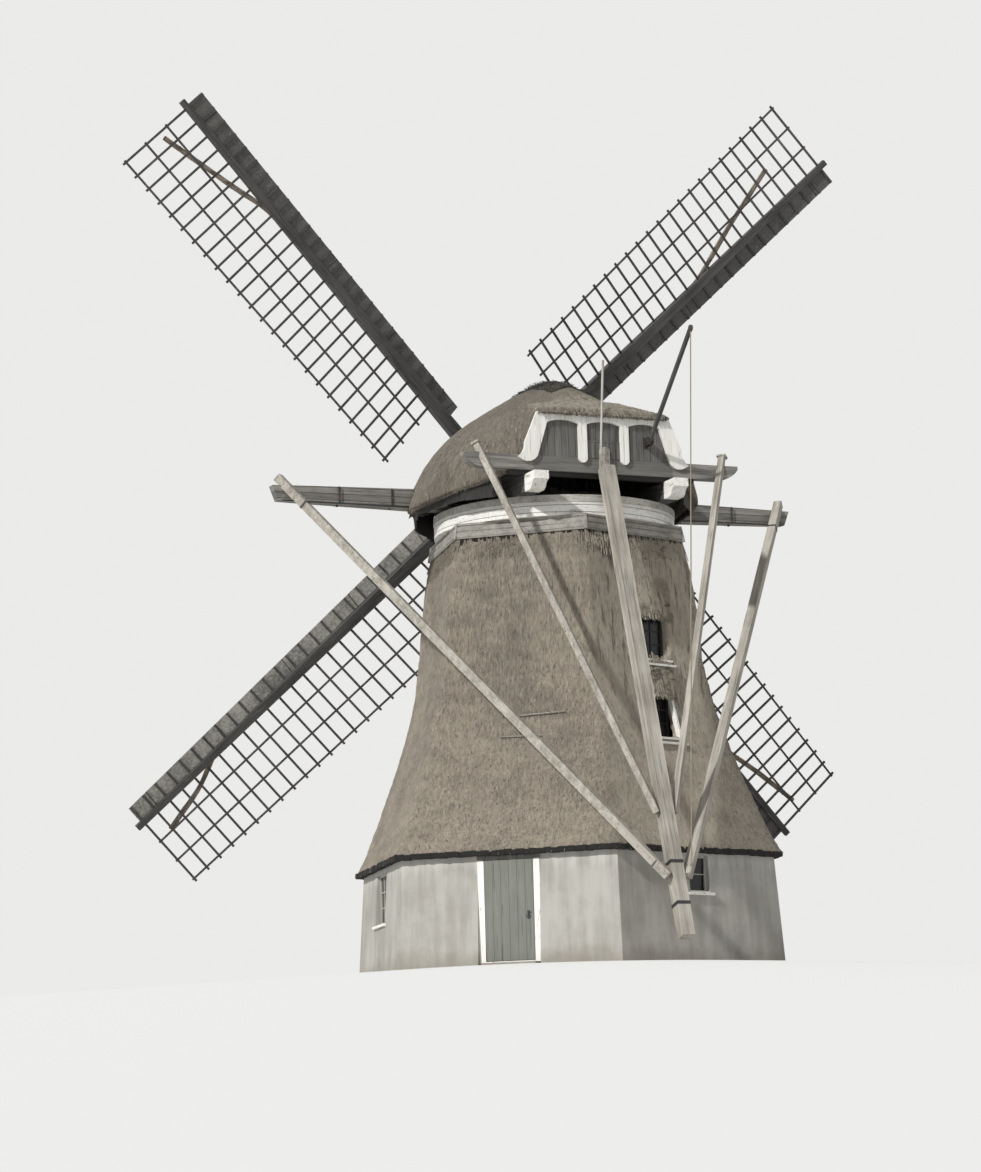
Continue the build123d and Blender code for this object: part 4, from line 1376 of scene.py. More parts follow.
    def butts(self, pile: Pile, facet: Facet, run: random.Random) -> None:
        """The butt ends of the reed under the eave, and in the gap below the boards at the top, which are
        near black as painted shade.

        Args:
            pile: takes the ends.
            facet: the facet.
            run: draws the random numbers.
        """
        corner, eave = self.skirt[0]
        out = corner * self.apothem - 0.085
        edge = (out + 0.06) * math.tan(math.pi / 6)
        along = -edge
        while along < edge:
            step = min(edge - along, 0.06 + 0.12 * run.random()) + 0.001
            low = eave - 0.015 + 0.022 * (run.random() - 0.5)
            deep = out + 0.024 * (run.random() - 0.5)
            pile.bar(*facet.level(along - 0.01, along + step + 0.01, deep, low), 0.125, 0.15, UP, 0.02)
            along += step
        neck_corner, neck = self.skirt[-1]
        for _ in range(60):
            along = (run.random() * 2.0 - 1.0) * neck_corner * 0.49
            low = neck - 0.04 - 0.13 * run.random() ** 2
            root = facet.at(along, self.skin(neck) + 0.004, neck + 0.03)
            tip = facet.at(along + 0.02 * (run.random() - 0.5), self.skin(low) + 0.012, low)
            pile.bar(root, tip, 0.03 + 0.06 * run.random(), 0.012, facet.side, 0.003)

    def neck_tufts(self, pile: Pile, facet: Facet, run: random.Random) -> None:
        """The ragged top course that disappears under the boards.

        Args:
            pile: takes the reed.
            facet: the facet.
            run: draws the random numbers.
        """
        corner, neck = self.skirt[-1]
        half = corner * 0.5
        for _ in range(260):
            height = neck + 0.05 * run.random()
            along = (run.random() * 2.0 - 1.0) * half
            root = facet.at(along, self.skin(neck) - 0.005, height)
            low = height - 0.25 - 0.35 * run.random()
            aside = along * 1.03 + 0.04 * (run.random() - 0.5)
            tip = facet.at(aside, self.skin(low) + 0.02 + 0.03 * run.random(), low)
            pile.straw(root, tip, 0.010 + 0.008 * run.random())

    def brow(self, pile: Pile, window: Window, run: random.Random) -> None:
        """The shaggy reed over a window, in courses.

        Args:
            pile: takes the reed.
            window: the window.
            run: draws the random numbers.
        """
        facet = Facet(window.facet)
        for course, count in enumerate((260, 120, 110, 90, 70)):
            for _ in range(count):
                side = (run.random() * 2.0 - 1.0) * (window.width / 2 + 0.18)
                low = window.high - 0.17 + course * 0.15 + 0.09 * run.random()
                high = low + 0.24 + 0.2 * run.random()
                bulge = (0.14 - 0.02 * course) * (1.0 - (side / (window.width / 2 + 0.26)) ** 2)
                inset = 0.10 * run.random() if course == 0 else 0.0
                root = facet.at(window.middle + side * 0.97, self.skin(high) + bulge * 0.75 - inset, high)
                proud = bulge + 0.03 * run.random() - inset
                tip = facet.at(window.middle + side, self.skin(low) + proud, low)
                pile.straw(root, tip, 0.008 + 0.008 * run.random())

    def bars(self, windows: Sequence[Window]) -> None:
        """Glazing bars in front of the panes.

        Args:
            windows: every window.
        """
        pile = Pile()
        for window in windows:
            facet = Facet(window.facet)
            out = window.face - 0.022
            low, high, half = window.low + 0.05, window.high - 0.05, window.width / 2 - 0.05
            for column in range(1, window.columns):
                along = window.middle - half + 2 * half * column / window.columns
                foot, top = facet.at(along, out, low), facet.at(along, out, high)
                pile.bar(foot, top, 0.026, 0.024, facet.side, 0.004)
            for row in range(1, window.rows):
                up = low + (high - low) * row / window.rows
                ends = facet.level(window.middle - half, window.middle + half, out, up)
                pile.bar(*ends, 0.024, 0.022, UP, 0.004)
        # Pale paint on the bars in the foot. Bars above shaded_above are near black as painted shade in the
        # recesses of the windows in the thatch.
        bars = TwoTone("bar_paint_and_shade", Wood.PALE, Wood.PAINTED_SHADE, UP, UP, self.shaded_above)
        pile.finish("glazing_bars", "tower", bars.build(), "white_wood")

    def sills(self, windows: Sequence[Window]) -> None:
        """Sills of every window.

        Args:
            windows: every window.
        """
        pile = Pile()
        for window in windows:
            if window.low > self.foot_top:
                self.thatch_sill(pile, window)
            else:
                self.foot_sill(pile, window)
        pile.finish("sills", "tower", Wood.WHITE.along("sills", RIGHT), "white_wood")

    def foot_sill(self, pile: Pile, window: Window) -> None:
        """The sill of a window in the foot: an inner and an outer board.

        Args:
            pile: takes the boards.
            window: the window.
        """
        facet = Facet(window.facet)
        inner = window.width / 2 - 0.004
        outer = window.width / 2 + 0.09
        pile.bar(*facet.level(-inner, inner, window.face + 0.045, window.low + 0.02), 0.035, 0.085, UP)
        pile.bar(*facet.level(-outer, outer, window.reveal + 0.025, window.low - 0.03), 0.06, 0.075, UP)

    def thatch_sill(self, pile: Pile, window: Window) -> None:
        """The sloping sill of a window in the thatch, a board under it, and a jamb board at a lower one.

        Args:
            pile: takes the boards.
            window: the window.
        """
        facet = Facet(window.facet)
        reach = window.reveal + 0.05
        half = window.width / 2 + 0.05
        section = ((window.face, 0.012), (reach, -0.015), (reach, -0.060), (window.face, -0.04))
        points = [facet.at(window.middle + along, out, window.low + rise)
                  for along in (-half, half) for out, rise in section]
        pile.add(points, cut_side(points))
        half += 0.03
        ends = facet.level(window.middle - half, window.middle + half, reach + 0.03, window.low - 0.155)
        pile.bar(*ends, 0.045, 0.10, UP)
        if window.low > self.upper:
            return
        along = window.middle + window.width / 2 - 0.03
        foot = facet.at(along, self.skin(window.low) - 0.03, window.low - 0.02)
        top = facet.at(along, self.skin(window.high) - 0.03, window.high)
        pile.bar(foot, top, 0.07, 0.12, facet.side)

    def door(self) -> None:
        """Planks, latch and threshold of the door."""
        level = Vector((1.0, 0.0, 0.0))
        pile = Pile()
        pitch = 2 * self.door_half / self.door_planks
        face = -self.door_face - 0.006
        for number in range(self.door_planks):
            middle = -self.door_half + pitch * (number + 0.5)
            foot = Vector((middle, face, self.door_low + 0.004))
            top = Vector((middle, face, self.door_high - 0.004))
            pile.bar(foot, top, pitch - 0.003, 0.012, level, 0.003)
        pile.finish("door_planks", "door", Wood.DOOR.along("planks", UP), "door_wood")
        iron = Pile()
        latch = Vector((self.door_half - 0.12, -self.door_face - 0.018, 1.12))
        iron.bar(latch - UP * 0.09, latch + UP * 0.09, 0.045, 0.008, level, 0.003)
        iron.ring(latch + Vector((0.0, -0.020, -0.035)), Vector((0.25, -1.0, 0.0)), 0.045, 0.006)
        handle = latch + Vector((-0.03, -0.012, 0.05))
        iron.bar(handle, handle + level * 0.09, 0.02, 0.012, UP, 0.003)
        iron.finish("door_latch", "door", Iron().build(), "iron")
        stone = Pile()
        stone.bar(Vector((-0.62, -4.40, 0.05)), Vector((0.62, -4.40, 0.05)), 0.10, 0.22, UP, 0.015)
        worn = Plaster("worn_stone", (0.36, 0.34, 0.30), (0.22, 0.20, 0.18))
        stone.finish("threshold", "tower", worn.build(), "plaster")

    def sticks(self) -> None:
        """Two thin rods pinned on the thatch over the door."""
        pile = Pile()
        facet = Facet(1)
        for rod in (((-0.10, 5.58), (1.12, 5.62)), ((-0.37, 5.12), (0.60, 5.10))):
            left, right = (facet.at(along, self.skin(up) + 0.03, up) for along, up in rod)
            pile.bar(left, right, 0.028, 0.028, UP, 0.009)
            for part in (0.12, 0.5, 0.88):
                pin = left.lerp(right, part) + facet.out * 0.012
                pile.bar(pin + UP * 0.06, pin - UP * 0.06, 0.012, 0.012, facet.side, 0.003)
        pile.finish("thatching_rods", "tower", Wood.GREY.along("rods", RIGHT), "grey_wood")

    def head(self) -> None:
        """Corner laths, boards and a drip board round the boarded head."""
        pile = Pile()
        run = random.Random(3)
        low, high = (3.11, 9.80), (3.035, 10.16)
        for number in range(6):
            angle = math.tau * number / 6
            way = Vector((math.cos(angle), math.sin(angle), 0.0))
            foot, top = (way * (corner + 0.006) + UP * rise for corner, rise in (low, high))
            pile.bar(foot, top, 0.07, 0.05, way.cross(UP), 0.008)
            facet = Facet(number)
            wide = high[0] + 0.012
            pile.bar(*facet.level(-wide / 2, wide / 2, wide * self.apothem, 10.135), 0.05, 0.035, UP, 0.006)
            for rise, tilt in ((9.90, 0.008), (10.02, -0.006)):
                wide = low[0] + (high[0] - low[0]) * (rise - low[1]) / (high[1] - low[1]) + 0.010
                edge, out = wide / 2 - 0.05 * run.random(), wide * self.apothem
                lift = tilt * (1.0 + run.random())
                left, right = facet.at(-edge, out, rise - lift), facet.at(edge, out, rise + lift)
                pile.bar(left, right, 0.105, 0.020, UP, 0.006)
        pile.finish("head_laths", "tower", Wood.GREY.along("laths", RIGHT), "grey_wood")


@dataclass
class Cap:
    """The turning cap: thatch, gable, beams.

    A row of sections holds a place along the cap, half the width and the height of the skirt, half the width
    and the height of the brow, and the height of the ridge.
    """

    nodes: dict[str, bpy.types.Object]
    reed: bpy.types.Material
    gable: float = 2.80
    gable_face: float = 2.86
    sections: tuple[tuple[float, ...], ...] = (
        (-2.48, 2.150, 11.060, 1.350, 12.700, 13.300), (-1.70, 2.980, 10.850, 1.900, 12.720, 13.780),
        (-0.40, 3.420, 10.740, 2.130, 12.700, 13.920), (1.40, 3.080, 10.850, 1.960, 12.580, 13.390),
        (2.80, 2.050, 11.180, 1.600, 12.400, 12.470),
    )
    short_low: float = 11.03
    short_top: float = 11.45
    long_end: float = 6.65
    long_height: float = 11.07
    skirt_boards: int = 30
    cover_start: float = -2.34
    cover_length: float = 3.45
    cover_half: float = 0.46

    def build(self) -> None:
        """Make and dress the cap."""
        dresser = Dresser(self.nodes)
        dresser.dress("cap_ring", Wood.PALE.along("cap_ring", RIGHT), 0.008)
        dresser.dress("sheers", TwoTone("sheer_paint", Wood.TAR, Wood.WHITE, TAIL, TAIL, 2.74).build(), 0.012)
        # The soffit is near black as painted shade under the cap.
        dresser.dress("cap_soffit", Wood.PAINTED_SHADE.along("soffit", RIGHT, TAIL, 0.24))
        dresser.dress("gable_boards", Wood.GABLE.along("gable", UP, RIGHT, 0.17))
        dresser.dress("gable_trim", Wood.WHITE.along("trim", UP), 0.012)
        dresser.dress("front_boards", Wood.GABLE.along("front", UP, RIGHT, 0.22))
        dresser.dress("shaft_beams", Wood.GREY.along("shaft_beams", RIGHT))
        self.tail_beam()
        self.beam()
        staff = reshaped(self.nodes["staff"], "vane_staff", lambda point: point + TAIL * 0.13)
        settle(staff, "cap", Wood.PALE.along("staff", UP), ("staff",), False)
        halves = ("cap_thatch_left", "cap_thatch_right")
        coat = ThatchCoat(self.nodes, self.reed).grow("cap_reed", halves, "cap", cap_run, self.overhang())
        skin = Skin(coat)
        self.fringe(skin)
        self.apron()
        self.ridge(skin)
        self.hatch()

    def value(self, back: float, column: int) -> float:
        """A size of the cap's sections between two stations."""
        stations = np.array(self.sections)
        return float(np.interp(back, stations[:, 0], stations[:, column]))

    def thinned(self, point: Vector) -> Vector:
        """A point of the short cross-beam, which is thinned from below."""
        point.z = self.short_top + 0.01 - (self.short_top - point.z) * 0.80
        return point

    def tail_beam(self) -> None:
        """The short cross-beam, lighter than its seat, on a packing board over the sheers that is near black
        as painted shade.
        """
        paint = TwoTone("short_beam_paint", Wood.GABLE, Wood.BEAM, RIGHT, RIGHT, 1.75, True)
        piece = reshaped(self.nodes["short_beam"], "tail_cross_beam", self.thinned)
        soften(piece, 0.02)
        settle(piece, "cap", paint.build(), ("short_beam",), False)
        pile = Pile()
        low = self.short_low + 0.055
        pile.bar(in_cap(2.70, -2.30, low), in_cap(2.70, 2.30, low), 0.11, 0.16, UP, 0.01)
        pile.finish("beam_packing", "cap", Wood.PAINTED_SHADE.along("packing", RIGHT), "dark_wood")

    def skewed(self, point: Vector) -> Vector:
        """A point of the long cross-beam, which is deeper and cut askew at its ends.

        Args:
            point: its place in the plain beam.

        Returns:
            Its new place.
        """
        reach = point.dot(RIGHT)
        part = min(1.0, abs(reach) / self.long_end)
        rise = (point.z - self.long_height) * (1.0 + 0.5 * part * part)
        cut = 0.13 if rise < 0.0 and part > 0.98 else 0.0
        point.z = self.long_height + rise
        return point - RIGHT * math.copysign(cut, reach)

    def beam(self) -> None:
        """The long cross-beam: its ends cut askew, three planks high, with straps and a batten below."""
        grey = Wood.BEAM.along("long_beam", RIGHT, UP, 0.15)
        piece = reshaped(self.nodes["long_beam"], "cross_beam", self.skewed)
        soften(piece, 0.015)
        settle(piece, "cap", grey, ("long_beam",), False)
        pile = Pile()
        under = self.long_height - 0.20
        for side in (-1, 1):
            for reach in (3.75, 5.05):
                strap = in_cap(-0.954, side * reach, self.long_height)
                pile.band(strap, RIGHT, UP, (0.375, 0.41), 0.05, 0.008)
                pile.bar(strap - UP * 0.20, strap - UP * 0.245, 0.05, 0.05, RIGHT, 0.01)
            inner, outer = in_cap(-0.75, side * 2.9, under), in_cap(-0.75, side * 6.45, under + 0.01)
            pile.bar(inner, outer, 0.035, 0.03, UP, 0.006)
        pile.finish("beam_straps", "cap", Iron("strap_iron").build(), "iron")

    def overhang(self) -> Pile:
        """The brow of reed that runs on from the slope and hangs over the gable's cornice.

        Returns:
            The brow, as a closed solid between its sections.
        """
        pile = Pile()
        half, low = self.value(self.gable, 3) - 0.01, self.value(self.gable, 4)
        rings = []
        for back, under, over in ((2.05, -0.05, 0.58), (2.55, 0.0, 0.36), (3.02, 0.0, 0.17)):
            sides = [half * part for part in (-1.0, -0.8, -0.4, 0.0, 0.4, 0.8, 1.0)]
            tops = [low + 0.03 + over * (1.0 - 0.35 * (abs(s) / half) ** 2) for s in sides]
            ring = [in_cap(back, s, low + 0.02 + under) for s in sides]
            ring += [in_cap(back, s, top) for s, top in zip(sides[::-1], tops[::-1])]
            rings.append(ring)
        for first, second in zip(rings, rings[1:]):
            pile.add(first + second, cut_side(first + second))
        return pile

    def fringe(self, skin: Skin) -> None:
        """Reed ends along the skirt and over the gable, and loose ends on the slope over it.

        Args:
            skin: the outside of the coat.
        """
        pile = Pile()
        run = random.Random(23)
        for side in (-1, 1):
            for _ in range(2600):
                back = -2.45 + 5.2 * run.random()
                half, low = self.value(back, 1), self.value(back, 2)
                inset = 0.02 + 0.20 * run.random() ** 1.5
                root = in_cap(back, side * (half - 0.05 - inset), low + 0.08 + inset * 0.6)
                out = RIGHT * side * (0.30 + 0.2 * run.random())
                lean = out - UP + TAIL * (run.random() - 0.5) * 0.3
                length = 0.11 + 0.07 * run.random() ** 2
                pile.straw(root, root + lean * length, 0.005 + 0.004 * run.random())
        brow = self.value(self.gable, 4)
        for _ in range(1500):
            side = (run.random() * 2.0 - 1.0) * 1.60
            root = in_cap(2.86 + 0.14 * run.random(), side, brow + 0.10)
            out = TAIL * (0.30 + 0.35 * run.random())
            lean = out - UP * (0.6 + 0.2 * run.random()) + RIGHT * (run.random() - 0.5) * 0.4
            length = 0.08 + 0.08 * run.random() ** 2
            pile.straw(root, root + lean * length, 0.006 + 0.006 * run.random())
        for _ in range(500):
            side = (run.random() * 2.0 - 1.0) * 1.55
            place = skin.drop(1.7 + 1.25 * run.random(), side)
            if place is None:
                continue
            down = UP * (0.40 + 0.15 * run.random())
            lean = TAIL * 0.9 - down + RIGHT * (side * 0.12 + (run.random() - 0.5) * 0.25)
            length = 0.14 + 0.12 * run.random()
            pile.straw(place + UP * 0.01, place + lean * length, 0.006 + 0.006 * run.random())
        pile.finish("cap_reed_ends", "cap", self.reed, "thatch")

    def apron(self) -> None:
        """Boards that hang under the cap's skirt, down to about the ring, near black as painted shade."""
        pile = Pile()
        run = random.Random(41)
        boards = self.skirt_boards
        for side in (-1, 1):
            for board in range(boards):
                corners = []
                for end in (0.02, 0.98):
                    back = -2.46 + 4.75 * (board + end) / boards
                    half, low = self.value(back, 1), self.value(back, 2)
                    corners.append((back, side * (half - 0.10), low + 0.09))
                drop = 10.62 - 0.20 * max(0.0, -corners[0][0] - 1.2) + 0.03 * (run.random() - 0.5)
                points = []
                for sink in (0.0, 0.032):
                    for back, reach, low in corners:
                        points.append(in_cap(back, reach - side * sink, low))
                    for back, reach, _ in corners[::-1]:
                        ragged = drop + 0.02 * (run.random() - 0.5)
                        points.append(in_cap(back, reach - side * (sink + 0.05), ragged))
                pile.add(points, cut_side(points), [p + UP * 1.7 * board for p in points])
        pile.finish("skirt_boards", "cap", Wood.PAINTED_SHADE.along("apron", UP), "dark_wood")

    def ridge(self, skin: Skin) -> None:
        """The dark cover that saddles the ridge, laid on the coat, with torn edges and loose ends.

        Args:
            skin: the outside of the coat.
        """
        pile = Pile()
        run = random.Random(5)
        steps, half = 90, 8
        rows = []
        for step in range(steps + 1):
            back = self.cover_start + self.cover_length * step / steps
            row = []
            for place in range(-half, half + 1):
                torn = 0.05 * (run.random() - 0.5) if abs(place) == half else 0.0
                side = self.cover_half * place / half + torn
                spot = skin.drop(back, side) or in_cap(back, side, self.value(back, 5))
                proud = 0.030 * (1.0 - abs(place) / half) ** 0.6 + 0.012 + 0.02 * run.random()
                row.append(spot + UP * proud)
            rows.append(row)
        points = [p for row in rows for p in row] + [p - UP * 0.12 for row in rows for p in row]
        faces = slab_faces(len(rows), 2 * half + 1)
        pile.add(points, faces, [Vector(cap_run(np.array([tuple(p)]))[0]) for p in points])
        self.loose_ends(pile, skin, run)
        dark = Thatch("ridge_reed", (0.085, 0.072, 0.058), (0.022, 0.019, 0.016), (0.05, 0.05, 0.035),
                      pale=(0.13, 0.11, 0.085))
        pile.finish("ridge_cover", "cap", dark.build(), "thatch")

    def loose_ends(self, pile: Pile, skin: Skin, run: random.Random) -> None:
        """Loose ends on the cover of the ridge.

        Args:
            pile: takes the ends.
            skin: the outside of the coat.
            run: draws the random numbers.
        """
        for _ in range(500):
            back = self.cover_start + self.cover_length * run.random()
            side = (run.random() * 2.0 - 1.0) * self.cover_half
            spot = skin.drop(back, side)
            if spot is None:
                continue
            out = RIGHT * (1.0 if side > 0 else -1.0) * (0.5 + abs(side))
            rise = 0.20 - 0.9 * abs(side) + 0.12 * run.random()
            lean = out + UP * rise + TAIL * (run.random() - 0.5) * 0.8
            root = spot + UP * (0.02 + 0.02 * (1.0 - abs(side) / self.cover_half))
            length = 0.05 + 0.08 * run.random()
            pile.straw(root, root + lean.normalized() * length, 0.006 + 0.005 * run.random())

    def hatch(self) -> None:
        """The hatch in the gable's middle bay: a ledge and the boards below it."""
        pile = Pile()
        face = self.gable_face + 0.012
        low, middle = 11.46, 11.85
        pile.bar(in_cap(face, -0.40, middle), in_cap(face, 0.40, middle), 0.035, 0.024, UP, 0.004)
        for number in range(7):
            place = -0.36 + 0.12 * number
            foot, top = (in_cap(face - 0.004, place, up) for up in (low, middle - 0.02))
            pile.bar(foot, top, 0.108, 0.016, RIGHT, 0.004)
        pile.finish("gable_hatch", "cap", Wood.GABLE.along("hatch", UP), "dark_wood")


@dataclass
class Tail:
    """Tail pole and braces, with their irons. The slope is the pole's run for each metre down."""

    nodes: dict[str, bpy.types.Object]
    iron: bpy.types.Material
    slope: float = 0.2985
    head_low: float = 11.02

    def build(self) -> None:
        """Dress the tail and bolt it together."""
        dresser = Dresser(self.nodes)
        self.slim_pole()
        long_way = in_cap(-6.5, 5.9, 9.1)
        dresser.dress("long_braces", Wood.OAK.along("long_braces", long_way), 0.014)
        self.slim_braces()
        pile = Pile()
        down = in_cap(self.slope, 0.0, -1.0).normalized()
        for height, size in ((1.15, 0.295), (2.05, 0.292)):
            pile.band(self.pole(height), down, RIGHT, (size, size), 0.07, 0.007)
        for side in (-1, 1):
            start, end = self.long_brace(side)
            along = (end - start).normalized()
            level = UP.cross(along).normalized()
            pile.band(start.lerp(end, 0.965), along, level, (0.194, 0.194), 0.055, 0.006)
        pile.finish("tail_irons", "cap", self.iron, "iron")
        self.splice()

    def long_brace(self, side: int) -> tuple[Vector, Vector]:
        """The low and the high end of a long brace, of which the left one is -1."""
        return self.pole(1.95) + RIGHT * side * 0.336, in_cap(-0.70, side * 6.20, 11.05)

    def tapered(self, point: Vector) -> Vector:
        """A point of the tail pole, which is slimmer from below its head on.

        Args:
            point: its place in the plain pole.

        Returns:
            Its new place.
        """
        if point.z > self.head_low:
            return point
        part = 1.0 - min(1.0, max(0.0, (point.z - 10.2) / 0.8))
        return point.lerp(self.pole(point.z), 0.15 * (0.4 + 0.6 * part))

    def slim_pole(self) -> None:
        """The tail pole, tapered from its foot to its head."""
        piece = reshaped(self.nodes["tail_pole"], "pole", self.tapered)
        soften(piece, 0.018)
        grain = in_cap(self.slope, 0.0, -1.0)
        settle(piece, "cap", Wood.OAK.along("tail", grain), ("tail_pole",), False)

    def slimmed(self, point: Vector) -> Vector:
        """A point of a short brace, which is slimmer all along.

        Args:
            point: its place in the plain brace.

        Returns:
            Its new place.
        """
        side = 1.0 if point.dot(RIGHT) > 0.0 else -1.0
        start = self.pole(3.35) + RIGHT * side * 0.258
        along = (in_cap(2.90, side * 2.90, 11.20) - start).normalized()
        return point.lerp(start + along * (point - start).dot(along), 0.27)

    def slim_braces(self) -> None:
        """The short braces, in slimmer poles than the long ones."""
        piece = reshaped(self.nodes["short_braces"], "light_braces", self.slimmed)
        soften(piece, 0.012)
        oak = Wood.OAK.along("short_braces", in_cap(-2.47, 2.64, 7.85))
        settle(piece, "cap", oak, ("short_braces",), False)

    def pole(self, height: float) -> Vector:
        """A point of the pole's middle line."""
        return in_cap(3.28 + (10.34 - height) * self.slope, 0.0, height)

    def splice(self) -> None:
        """The planks that clasp the foot of the left long brace, with their bolts."""
        start, end = self.long_brace(-1)
        along = (end - start).normalized()
        level = UP.cross(along).normalized()
        other = along.cross(level)
        pile = Pile()
        for side in (-1, 1):
            first = start.lerp(end, 0.012) + level * side * 0.118
            pile.bar(first, first + along * 1.05, 0.17, 0.040, other, 0.008)
            for part in (0.15, 0.5, 0.85):
                bolt = first + along * 1.05 * part
                pile.bar(bolt, bolt + level * side * 0.034, 0.04, 0.04, along, 0.010)
        pile.finish("splice_planks", "cap", Wood.OAK.along("splice", along), "grey_wood")


@dataclass
class Brake:
    """Lever on the gable and its rope."""

    nodes: dict[str, bpy.types.Object]
    iron: bpy.types.Material
    tip: Vector = field(default_factory=lambda: in_cap(5.386, 1.07, 13.977))
    foot: Vector = field(default_factory=lambda: in_cap(6.15, 0.22, 1.98))
    pulley: float = 0.0753
    thick: float = 0.028

    def build(self) -> None:
        """Dress the brake and hang its rope."""
        dresser = Dresser(self.nodes)
        dresser.dress("lever_bracket", self.iron, 0.003)
        dresser.dress("brake_lever", Wood.TAR.along("lever", in_cap(2.279, 0.0, 2.093)), 0.008)
        way = (self.foot - self.tip).normalized()
        start = self.tip + way * (self.pulley + 0.001)
        curve = bpy.data.curves.new("brake_rope_line", "CURVE")
        curve.dimensions = "3D"
        spline = curve.splines.new("NURBS")
        stops = (0.0, 0.5, 1.0)
        spline.points.add(len(stops) - 1)
        for point, part in zip(spline.points, stops):
            point.co = (*start.lerp(self.foot, part), 1.0)
        spline.order_u = 3
        spline.use_endpoint_u = True
        spline.resolution_u = 24
        curve.bevel_depth = self.thick / 2
        curve.bevel_resolution = 3
        rope = placed("rope", curve)
        hemp = Rope().build()
        curve.materials.append(hemp)
        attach(rope, "brake_rope")
        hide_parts("brake_rope")
        knot = self.knot(hemp, way)
        (self.foot - start).length

    def knot(self, hemp: bpy.types.Material, way: Vector) -> bpy.types.Object:
        """The knot at the rope's foot: three close turns.

        Args:
            hemp: finish of the rope.
            way: direction of the rope.

        Returns:
            The knot.
        """
        side = way.orthogonal().normalized()
        pile = Pile()
        for turn, (size, thick) in enumerate(((0.022, 0.011), (0.026, 0.013), (0.020, 0.011))):
            tilt = (way + side * 0.35 * (turn - 1)).normalized()
            pile.ring(self.foot - way * (0.020 * (turn - 1)), tilt, size, thick)
        return pile.finish("rope_knot", "brake_rope", hemp, "rope", smooth=True)


SAIL_NAMES = ("top_right", "top_left", "low_left", "low_right")


